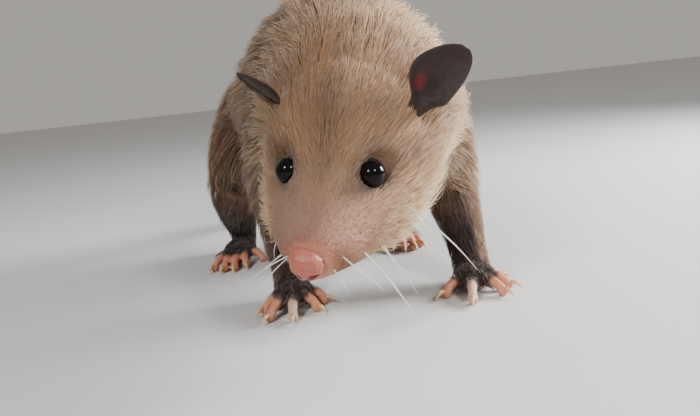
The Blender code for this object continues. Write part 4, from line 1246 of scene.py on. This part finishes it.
class OPOSSUM_OT_claws(bpy.types.Operator):
    """Every claw, curved to its point"""

    bl_idname = "opossum.claws"
    bl_label = "Claws"

    def execute(self, context):
        made = []
        for root, tip, clawed in (digit for paw in PAWS for digit in paw_digits(paw)):
            if clawed:
                _, way, _, pad = digit_line(root, tip, clawed)
                made.append(self.claw(way, pad))
        claws = joined(made, "claws")
        # Claw horn: hard translucent keratin with fine lengthwise grain
        horn, tree, shader = new_material(
            "claw_horn", Roughness=0.33, IOR=1.54, Specular_IOR_Level=0.5, Subsurface_Weight=0.15,
            Subsurface_Scale=0.002)
        _, noise = own_colour(tree, shader, 1.2, 0.10)
        bump(tree, shader, noise.outputs["Fac"], 0.15, 0.0002)
        finished(claws, [horn], [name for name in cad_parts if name.startswith("claw")])
        return {"FINISHED"}

    def claw(self, way, pad):
        """One claw, pink at its root, from inside the digit's pad to just over the floor."""
        start = pad + way * (DIGIT_RADIUS * 0.35) + Vector((0, 0, DIGIT_RADIUS * 0.40))
        middle = start + way * CLAW_LENGTH * 0.62 + Vector((0, 0, 0.0002))
        point = pad + way * (DIGIT_RADIUS + CLAW_LENGTH)
        point.z = 0.0010
        near = middle.lerp(point, 0.5) + Vector((0, 0, 0.0004))
        radii = (CLAW_RADIUS * 1.15, CLAW_RADIUS, CLAW_RADIUS * 0.62, 0.00022)
        claw = tube("claw", (start, middle, near, point), radii, count=14)
        far = np.array([(v.co - start).dot(way) / (point - start).dot(way) for v in claw.data.vertices])
        set_tint(claw.data, mixed(tint("digit") * 0.9, tint("claw"), smooth_step(0.05, 0.5, far)))
        return claw


# Cells of the unwrap on the baked map, as left, bottom, width and height
CELLS = {
    "trunk": (0.00, 0.00, 0.60, 0.50), "neck": (0.60, 0.00, 0.40, 0.25),
    "head": (0.00, 0.50, 0.60, 0.50), "tail": (0.60, 0.25, 0.20, 0.25),
    "fore_left": (0.60, 0.50, 0.20, 0.25), "fore_right": (0.80, 0.50, 0.20, 0.25),
    "hind_left": (0.60, 0.75, 0.20, 0.25), "hind_right": (0.80, 0.75, 0.20, 0.25),
    "sole_left": (0.80, 0.25, 0.10, 0.25), "sole_right": (0.90, 0.25, 0.10, 0.25),
}

# Where the coat is divided into pieces: back of the face's fine fur, cuts along the trunk, end of the thigh
FACE_FUR_BACK = 0.066
TRUNK_CUTS = (-1, -0.06, -0.015, 0.03, 0.075, 0.115, 1)
THIGH_END = 0.055

# How far every strand stays over the floor
STRAND_FLOOR = 0.0004


def unwrap_place(found):
    """Each point's place on the baked map, round and along the form it belongs to, and that form's name."""
    names = np.array(list(found))
    owner = names[np.array([form["share"] for form in found.values()]).argmax(0)]
    spots = np.empty((len(owner), 2))
    for name, form in found.items():
        mine = owner == name
        left, bottom, width, height = CELLS[name]
        spots[mine, 0] = left + 0.002 + (width - 0.007) * np.clip(form["turn"][mine], 0, 1)
        spots[mine, 1] = bottom + 0.002 + (height - 0.007) * form["place"][mine]
    return spots, owner


def unit(ways):
    return ways / np.maximum(np.linalg.norm(ways, axis=1), 1e-12)[:, None]


def laid(ways, normals):
    """Ways laid flat on the skin."""
    return unit(ways - normals * (ways * normals).sum(1)[:, None])


def strand_paths(tree, roots, normals, ways, lengths, depths, knots, random):
    """Points along each strand, which follows the skin and rises to the coat's tips."""
    count = len(roots)
    spread = np.radians(random.uniform(-14, 14, count))
    flat = laid(ways, normals)
    across = np.cross(normals, flat)
    flat = unit(flat * np.cos(spread)[:, None] + across * np.sin(spread)[:, None])
    points = [roots - normals * 0.0004]
    outs = [normals]
    here, out, way = roots, normals, flat
    for before, now in zip(knots, knots[1:]):
        aim = here + way * (lengths * (now - before))[:, None]
        hits = [tree.find_nearest(Vector(place)) for place in aim]
        here = np.array([hit[0] for hit in hits])
        out = unit(np.array([hit[1] for hit in hits]) + out * 0.6)
        way = laid(way, out)
        rise = depths * (1 - (1 - now) ** 1.6)
        points.append(here + out * rise[:, None])
        outs.append(out)
    return np.stack(points, 1), np.stack(outs, 1)


def strand_mesh(name, points, outs, widths, shapes, spots, tints):
    """One mesh of closed three-sided strands: rings at all points but the last, which is the tip."""
    count, knots = points.shape[:2]
    along = np.gradient(points, axis=1)
    along /= np.maximum(np.linalg.norm(along, axis=2), 1e-12)[:, :, None]
    side = np.cross(along, outs)
    side /= np.maximum(np.linalg.norm(side, axis=2), 1e-12)[:, :, None]
    over = np.cross(side, along)
    half = (widths[:, None] * np.array(shapes)[None] / 2)[:, :, None]
    rings = np.stack([points + side * half, points - side * half, points + over * half * 0.9], 2)[:, :-1]
    verts = np.concatenate([rings.reshape(count, -1, 3), points[:, -1:]], 1)
    per = verts.shape[1]
    faces = [(0, 1, 2)]
    for k in range(knots - 2):
        for j in range(3):
            a, b = 3 * k + j, 3 * k + (j + 1) % 3
            faces.append((b, a, a + 3, b + 3))
    for j in range(3):
        a, b = 3 * (knots - 2) + j, 3 * (knots - 2) + (j + 1) % 3
        faces.append((b, a, per - 1))
    totals = np.array([len(face) for face in faces])
    corners = np.array([v for face in faces for v in face])
    loops = (corners[None] + per * np.arange(count)[:, None]).ravel()
    mesh = bpy.data.meshes.new(name)
    mesh.vertices.add(count * per)
    mesh.vertices.foreach_set("co", verts.ravel())
    mesh.loops.add(len(loops))
    mesh.loops.foreach_set("vertex_index", loops)
    mesh.polygons.add(count * len(faces))
    every = np.tile(totals, count)
    mesh.polygons.foreach_set("loop_start", np.concatenate([[0], np.cumsum(every)[:-1]]))
    mesh.polygons.foreach_set("loop_total", every)
    mesh.update(calc_edges=True)
    ring_of = np.minimum(np.arange(per) // 3, knots - 1)
    local = np.stack([(np.arange(per) % 3) / 3, ring_of / (knots - 1)], 1) * PATCH
    layer = mesh.uv_layers.new(name="OFBake")
    uvs = (spots[:, None] + local[None]).reshape(-1, 2)[loops]
    layer.data.foreach_set("uv", uvs.ravel())
    shares = (ring_of / (knots - 1))[None, :, None]
    colours = tints[0][:, None] * (1 - shares) + tints[1][:, None] * shares
    set_tint(mesh, np.clip(colours.reshape(-1, 3), 0, 1))
    made = bpy.data.objects.new(name, mesh)
    bpy.context.scene.collection.objects.link(made)
    return made


def triangles_of(mesh):
    mesh.calc_loop_triangles()
    found = np.empty(len(mesh.loop_triangles) * 3, int)
    mesh.loop_triangles.foreach_get("vertices", found)
    return found.reshape(-1, 3)


def clumped(points, roots, every, pull, random):
    """Strands drawn towards their neighbours' leader, so that the coat parts into tufts."""
    leaders = np.nonzero(random.random(len(roots)) < 1 / every)[0]
    if len(leaders) < 2:
        return points
    tree = KDTree(len(leaders))
    for n, leader in enumerate(leaders):
        tree.insert(Vector(roots[leader]), n)
    tree.balance()
    mine = leaders[[tree.find(Vector(root))[1] for root in roots]]
    knots = points.shape[1]
    pulls = np.linspace(0, 1, knots)[None, :, None] ** 0.8 * pull
    goal = points[mine] + 0.28 * (points[:, :1] - points[mine][:, :1])
    return points * (1 - pulls) + goal * pulls


def hair_cover(points, found):
    """How much of its hair the skin carries: none on digits, tail, nose, eyes and soles."""
    head = in_head(points)
    cover = 1 - smooth_step(0.0, 0.35, on_paw(points))
    cover *= np.where(found["tail"]["share"] > 0.5, smooth_step(0.26, 0.16, found["tail"]["place"]), 1)
    by_nose = (head[:, 1] < 0.05) & (np.abs(head[:, 0]) < 0.04)
    cover *= np.where(by_nose, (1 - on_nose(*head.T)) * smooth_step(0.004, 0.016, head[:, 1]), 1)
    for hand in (-1, 1):
        off = head - mirrored(EYEBALL, hand)
        gap = np.linalg.norm(off, axis=1)
        edge = 0.0079 + 0.0024 * np.clip(-off[:, 1] / gap, 0, 1)
        cover *= smooth_step(edge, edge + 0.0008, gap)
    return cover * np.where(points[:, 2] < 0.0035, 0, 1)


def hair_tints(roots, found, depth, random):
    """The colours of each strand's root and tip: some hairs dark, some pale, and grey tips on the paws."""
    total = len(roots)
    base = markings(roots, found)
    calm = 1 - 0.6 * found["head"]["share"]
    bright = 1 + random.uniform(-0.18, 0.18, total) * calm
    kind = random.random(total)
    long_coat = smooth_step(0.004, 0.008, depth) * calm
    bright *= np.where(kind < 0.10, 1 - 0.45 * long_coat, np.where(kind > 0.88, 1 + 0.30 * long_coat, 1))
    grey = (random.random(total) < 0.16) & (roots[:, 2] < 0.022)
    tips = base * (bright * (1 + 0.14 * long_coat))[:, None]
    tips[grey] = tint("whisker") * 0.8
    return base * (bright * (1 - 0.25 * long_coat))[:, None], tips


class OPOSSUM_OT_coat(bpy.types.Operator):
    """The whole coat as fine locks that lie along the fur"""

    bl_idname = "opossum.coat"
    bl_label = "Coat"

    def execute(self, context):
        random = np.random.default_rng(sizes().seed)
        mesh = bpy.data.objects["skin"].data
        places = vertex_places(mesh) - np.array(shift())
        corners = triangles_of(mesh)
        tree = BVHTree.FromPolygons([tuple(p) for p in places], [tuple(int(k) for k in c) for c in corners])
        roots, normals = self.rooted(*(places[corners[:, k]] for k in range(3)), random)
        total = len(roots)
        found = fields(roots)
        lengths, widths, depth, _ = hair_sizes(roots, found)
        lengths *= random.uniform(0.75, 1.2, total)
        widths *= random.uniform(0.8, 1.2, total)
        ways = hair_way(roots, found)
        root_tint, tip_tint = hair_tints(roots, found, depth, random)
        draw = random.random(total)
        high, low = random.uniform(1.0, 1.45, total), random.uniform(0.65, 1.05, total)
        lift = depth * np.where(draw < 0.22, high, low) + 0.0004
        # Guard hairs: thin, longer and paler than the rest, they soften the outline
        head = found["head"]
        guard = (draw > 0.90) & (smooth_step(0.004, 0.008, depth) * (1 - head["share"]) > 0.5)
        lift[guard] *= 1.75
        lengths[guard] *= 1.12
        widths[guard] *= 0.75
        tip_tint[guard] = tip_tint[guard] * 0.45 + tint("cheek") * 0.62
        # Fringe of cheek and jaw: it stands off the skin, and its tips are the palest fur, partly pale cheek
        # fur and partly painted rim light
        head_roots = in_head(roots)
        pale_and_lit_fringe = head["share"] * smooth_step(0.35, -0.20, head["high"])
        pale_and_lit_fringe *= smooth_step(0.020, 0.045, head_roots[:, 1])
        stands = random.random(total) < 0.35 * pale_and_lit_fringe
        lift[stands] += random.uniform(0.0025, 0.0070, total)[stands]
        # Painted rim light: the fringe's tips turn paler
        tip_tint = mixed(tip_tint, tint("pale_and_lit_fringe"), 0.95 * pale_and_lit_fringe)
        spots, owner = unwrap_place(found)
        for name, (mine, slot, fine) in self.groups(roots, owner, head_roots).items():
            if not len(mine):
                continue
            knots = (0.0, 0.5, 1.0) if fine else (0.0, 0.33, 0.70, 1.0)
            shapes = (0.85, 0.85, 0.0) if fine else (0.85, 1.0, 0.65, 0.0)
            points, outs = strand_paths(
                tree, roots[mine], normals[mine], ways[mine], lengths[mine], lift[mine], knots, random)
            pull = 0.30 if fine else 0.55 if slot == "pale_fur" else 0.66
            points = clumped(points, roots[mine], 6 if fine else 12, pull, random)
            points[:, :, 2] = np.maximum(points[:, :, 2], STRAND_FLOOR)
            tints = (root_tint[mine], tip_tint[mine])
            piece = strand_mesh(name, points, outs, widths[mine], shapes, spots[mine], tints)
            print(name, len(mine), "strands")
            finished(piece, [self.fur(slot)])
        return {"FINISHED"}

    def rooted(self, a, b, c, random):
        """Places drawn on the triangles with these corners, as dense as the hair there, and their normals."""
        area = np.linalg.norm(np.cross(b - a, c - a), axis=1) / 2
        centres = (a + b + c) / 3
        found = fields(centres)
        lengths, widths, _, layers = hair_sizes(centres, found)
        cover = hair_cover(centres, found)
        chance = area * cover * layers * sizes().coat_layers / (lengths * widths * 0.7)
        total = int(chance.sum() * (1.0))
        picked = random.choice(len(centres), total, p=chance / chance.sum())
        u, v = random.random(total), random.random(total)
        flip = u + v > 1
        u[flip], v[flip] = 1 - u[flip], 1 - v[flip]
        roots = a[picked] + (b - a)[picked] * u[:, None] + (c - a)[picked] * v[:, None]
        return roots, unit(np.cross(b - a, c - a))[picked]

    def fur(self, slot):
        name = {
            "face_skin_and_fur": "soft_face_fur", "pale_fur": "soft_pale_fur",
            "body_fur": "coarse_body_fur", "leg_fur": "short_leg_fur",
        }[slot]
        return bpy.data.materials.get(name) or fur_material(name, 0.62 if slot == "leg_fur" else 0.7, 0.22)

    def groups(self, roots, who, head):
        """Each piece's strands, slot and whether they are fine, none of them over the limit of triangles."""
        face, front, left = who == "head", head[:, 1] < FACE_FUR_BACK, head[:, 0] >= 0
        made = {}
        for side, mask in (("left", left), ("right", ~left)):
            made[f"fur_face_{side}"] = (face & mask & front, "face_skin_and_fur", True)
            made[f"fur_cheek_{side}"] = (face & mask & ~front, "pale_fur", False)
        made["fur_neck"] = (who == "neck", "pale_fur", False)
        for n, (low, high) in enumerate(zip(TRUNK_CUTS, TRUNK_CUTS[1:])):
            part = (who == "trunk") & (roots[:, 1] >= low) & (roots[:, 1] < high)
            made[f"fur_body_{n + 1}"] = (part, "body_fur", False)
        made["fur_tail_root"] = (who == "tail", "body_fur", False)
        thigh = roots[:, 2] >= THIGH_END
        for name in PAWS:
            leg = (who == name) | (who == name.replace("hind", "sole"))
            made[f"fur_thigh_{name}"] = (leg & thigh, "body_fur", False)
            made[f"fur_leg_{name}"] = (leg & ~thigh, "leg_fur", True)
        return {name: (np.nonzero(mask)[0], slot, fine) for name, (mask, slot, fine) in made.items()}


# Whiskers as root and tip in the head's own axes, how far the middle bows out, and share of full thickness
LEFT_WHISKERS = (
    ((0.0397, 0.0543, -0.0149), (0.0764, 0.0347, -0.0431), 0.0040, 1.0),
    ((0.0378, 0.0501, -0.0140), (0.0654, 0.0275, -0.0403), 0.0025, 0.85),
    ((0.0405, 0.0547, -0.0169), (0.0560, 0.0428, -0.0388), 0.0015, 0.8),
    ((0.0299, 0.0323, -0.0170), (0.0380, 0.0201, -0.0281), 0.0010, 0.8),
    ((0.0237, 0.0212, -0.0115), (0.0528, -0.0059, -0.0309), 0.0035, 1.1),
    ((0.0187, 0.0122, -0.0095), (0.0365, 0.0012, -0.0171), 0.0020, 0.8),
    ((0.0132, 0.0065, -0.0080), (0.0199, -0.0046, -0.0123), 0.0008, 0.6),
    ((0.0168, 0.0115, -0.0029), (0.0304, 0.0028, -0.0124), 0.0012, 0.7),
    ((0.0290, 0.0300, -0.0160), (0.0490, 0.0120, -0.0350), 0.0025, 0.8),
)
RIGHT_WHISKERS = (
    ((-0.0125, 0.0100, -0.0020), (-0.0330, -0.0060, -0.0100), 0.0020, 0.6),
    ((-0.0130, 0.0120, -0.0045), (-0.0280, -0.0090, -0.0150), 0.0020, 0.6),
    ((-0.0150, 0.0150, -0.0060), (-0.0360, 0.0060, -0.0240), 0.0020, 0.5),
    ((-0.0160, 0.0200, -0.0105), (-0.0380, 0.0160, -0.0360), 0.0025, 0.5),
    ((-0.0300, 0.0340, -0.0200), (-0.0400, 0.0330, -0.0480), 0.0020, 0.6),
    ((-0.0378, 0.0501, -0.0180), (-0.0470, 0.0480, -0.0500), 0.0020, 0.6),
)
BROW_HAIRS = (
    ((-0.0168, 0.0627, 0.0155), (-0.0380, 0.0760, 0.0060), 0.0040, 0.45),
    ((-0.0200, 0.0590, 0.0140), (-0.0400, 0.0660, 0.0040), 0.0035, 0.40),
    ((-0.0235, 0.0329, -0.0030), (-0.0385, 0.0480, -0.0125), 0.0015, 0.50),
    ((0.0168, 0.0640, 0.0160), (0.0330, 0.0800, 0.0180), 0.0040, 0.40),
)


class OPOSSUM_OT_whiskers(bpy.types.Operator):
    """Long stiff hairs of muzzle, brow and cheek"""

    bl_idname = "opossum.whiskers"
    bl_label = "Whiskers"

    def execute(self, context):
        pale = self.hairs("whiskers", LEFT_WHISKERS + RIGHT_WHISKERS)
        dark = self.hairs("brow_hairs", BROW_HAIRS)
        # Whisker: stiff smooth keratin, pale and slightly glossy
        stiff, _, shader = new_material("stiff_whisker", Roughness=0.35, IOR=1.55)
        shader.inputs["Base Color"].default_value = context.scene.opossum_colours.whisker
        finished(pale, [stiff])
        # Brow hair: the same keratin, dark brown
        brown, _, shader = new_material("dark_brow_hair", Roughness=0.40, IOR=1.55)
        shader.inputs["Base Color"].default_value = context.scene.opossum_colours.socket
        finished(dark, [brown])
        return {"FINISHED"}

    def hairs(self, name, table):
        turn = head_frame()
        made = []
        for root, tip, bow, share in table:
            a, b = Vector(root), Vector(tip)
            a -= (a - Vector((0, a.y, -0.008))).normalized() * 0.0025
            out = Vector((math.copysign(0.6, a.x), -0.3, 0.75)).normalized()
            line = [turn @ (a.lerp(b, t) + out * (bow * 4 * t * (1 - t))) for t in (0, 0.3, 0.65, 1)]
            radius = sizes().whisker_radius * share
            radii = (radius, radius * 0.90, radius * 0.65, radius * 0.15)
            made.append(tube(name, line, radii, count=6, steps=5, turns=()))
        return joined(made, name)


CAMERA_HEIGHT = 0.142
CAMERA_BACK = 0.530
CAMERA_LENS = 36.51

# The way straight down in the photo, as right, down and ahead of the camera
DOWN_IN_VIEW = (0.1109, 1.0, 128.7 / 710.0)

# Lamps: name, place, aim, width and watts
LAMPS = (
    ("key", (-0.62, -1.25, 1.05), (0, -0.2, 0.08), 0.36, 16),
    ("second", (0.62, -1.15, 0.90), (0, -0.2, 0.08), 0.26, 9),
    ("rim", (1.05, 0.15, 0.50), (0.02, -0.25, 0.1), 0.5, 34),
)


def soft_light(name, place, aim, size, power):
    data = bpy.data.lights.new(name, "AREA")
    data.shape = "DISK"
    data.size = size
    data.energy = power
    lamp = bpy.data.objects.new(name, data)
    bpy.context.scene.collection.objects.link(lamp)
    lamp.location = place
    lamp.rotation_euler = (Vector(aim) - Vector(place)).to_track_quat("-Z", "Y").to_euler()


def camera_turn():
    """The camera's right, up and back in the world, as columns."""
    down = np.array(DOWN_IN_VIEW) / np.linalg.norm(DOWN_IN_VIEW)
    ahead = np.array((0.0, 0.0, 1.0)) - down * down[2]
    ahead /= np.linalg.norm(ahead)
    return np.stack([np.cross(ahead, -down), ahead, -down]) * (1, -1, -1)


class OPOSSUM_OT_stage(bpy.types.Operator):
    """Floor, lights and camera"""

    bl_idname = "opossum.stage"
    bl_label = "Stage"

    def execute(self, context):
        bpy.ops.object.select_all(action="DESELECT")
        bpy.ops.mesh.primitive_plane_add(size=12)
        floor = bpy.context.object
        floor.name = "floor"
        # Painted matt floor, pale, with very slight unevenness
        matt, tree, shader = new_material("matt_floor", Roughness=0.85, IOR=1.45)
        where = add_node(tree, "TexCoord")
        noise = add_node(tree, "TexNoise", {"Vector": where.outputs["Object"], "Scale": 3.0, "Detail": 4.0})
        ramp = add_node(tree, "MapRange", {"Value": noise.outputs["Fac"], "To Min": 0.60, "To Max": 0.66})
        tree.links.new(ramp.outputs["Result"], shader.inputs["Base Color"])
        floor.data.materials.append(matt)
        world = bpy.data.worlds.new("studio")
        world.use_nodes = True
        sky = world.node_tree.nodes["Background"].inputs
        sky["Color"].default_value = linear("EDE8E2")
        sky["Strength"].default_value = 0.50
        context.scene.world = world
        for lamp in LAMPS:
            soft_light(*lamp)
        data = bpy.data.cameras.new("camera")
        data.sensor_fit = "HORIZONTAL"
        data.sensor_width = 36.0
        data.lens = CAMERA_LENS
        data.clip_start = 0.01
        eye = bpy.data.objects.new("camera", data)
        context.scene.collection.objects.link(eye)
        place = shift() + Vector((0, -CAMERA_BACK, CAMERA_HEIGHT))
        eye.matrix_world = Matrix.Translation(place) @ Matrix(camera_turn().tolist()).to_4x4()
        context.scene.camera = eye
        return {"FINISHED"}


class OPOSSUM_PT_panel(bpy.types.Panel):
    """Everything that makes the animal, in order"""

    bl_idname = "OPOSSUM_PT_panel"
    bl_label = "Opossum"
    bl_space_type = "VIEW_3D"
    bl_region_type = "UI"
    bl_category = "Opossum"

    def draw(self, context):
        for group in (context.scene.opossum_sizes, context.scene.opossum_colours):
            box = self.layout.box()
            for name in group.__annotations__:
                box.prop(group, name)
        for operator in OPERATORS:
            self.layout.operator(operator.bl_idname)


OPERATORS = (
    OPOSSUM_OT_skin, OPOSSUM_OT_eyes, OPOSSUM_OT_ears, OPOSSUM_OT_claws, OPOSSUM_OT_coat, OPOSSUM_OT_whiskers,
    OPOSSUM_OT_stage,
)
CLASSES = (OpossumSizes, OpossumColours, *OPERATORS, OPOSSUM_PT_panel)


def register():
    for item in CLASSES:
        bpy.utils.register_class(item)
    bpy.types.Scene.opossum_sizes = PointerProperty(type=OpossumSizes)
    bpy.types.Scene.opossum_colours = PointerProperty(type=OpossumColours)


def unregister():
    del bpy.types.Scene.opossum_colours
    del bpy.types.Scene.opossum_sizes
    for item in reversed(CLASSES):
        bpy.utils.unregister_class(item)


def main():
    register()
    bpy.ops.opossum.skin()
    bpy.ops.opossum.eyes()
    bpy.ops.opossum.ears()
    bpy.ops.opossum.claws()
    bpy.ops.opossum.coat()
    bpy.ops.opossum.whiskers()
    bpy.ops.opossum.stage()


if __name__ == "__main__":
    main()
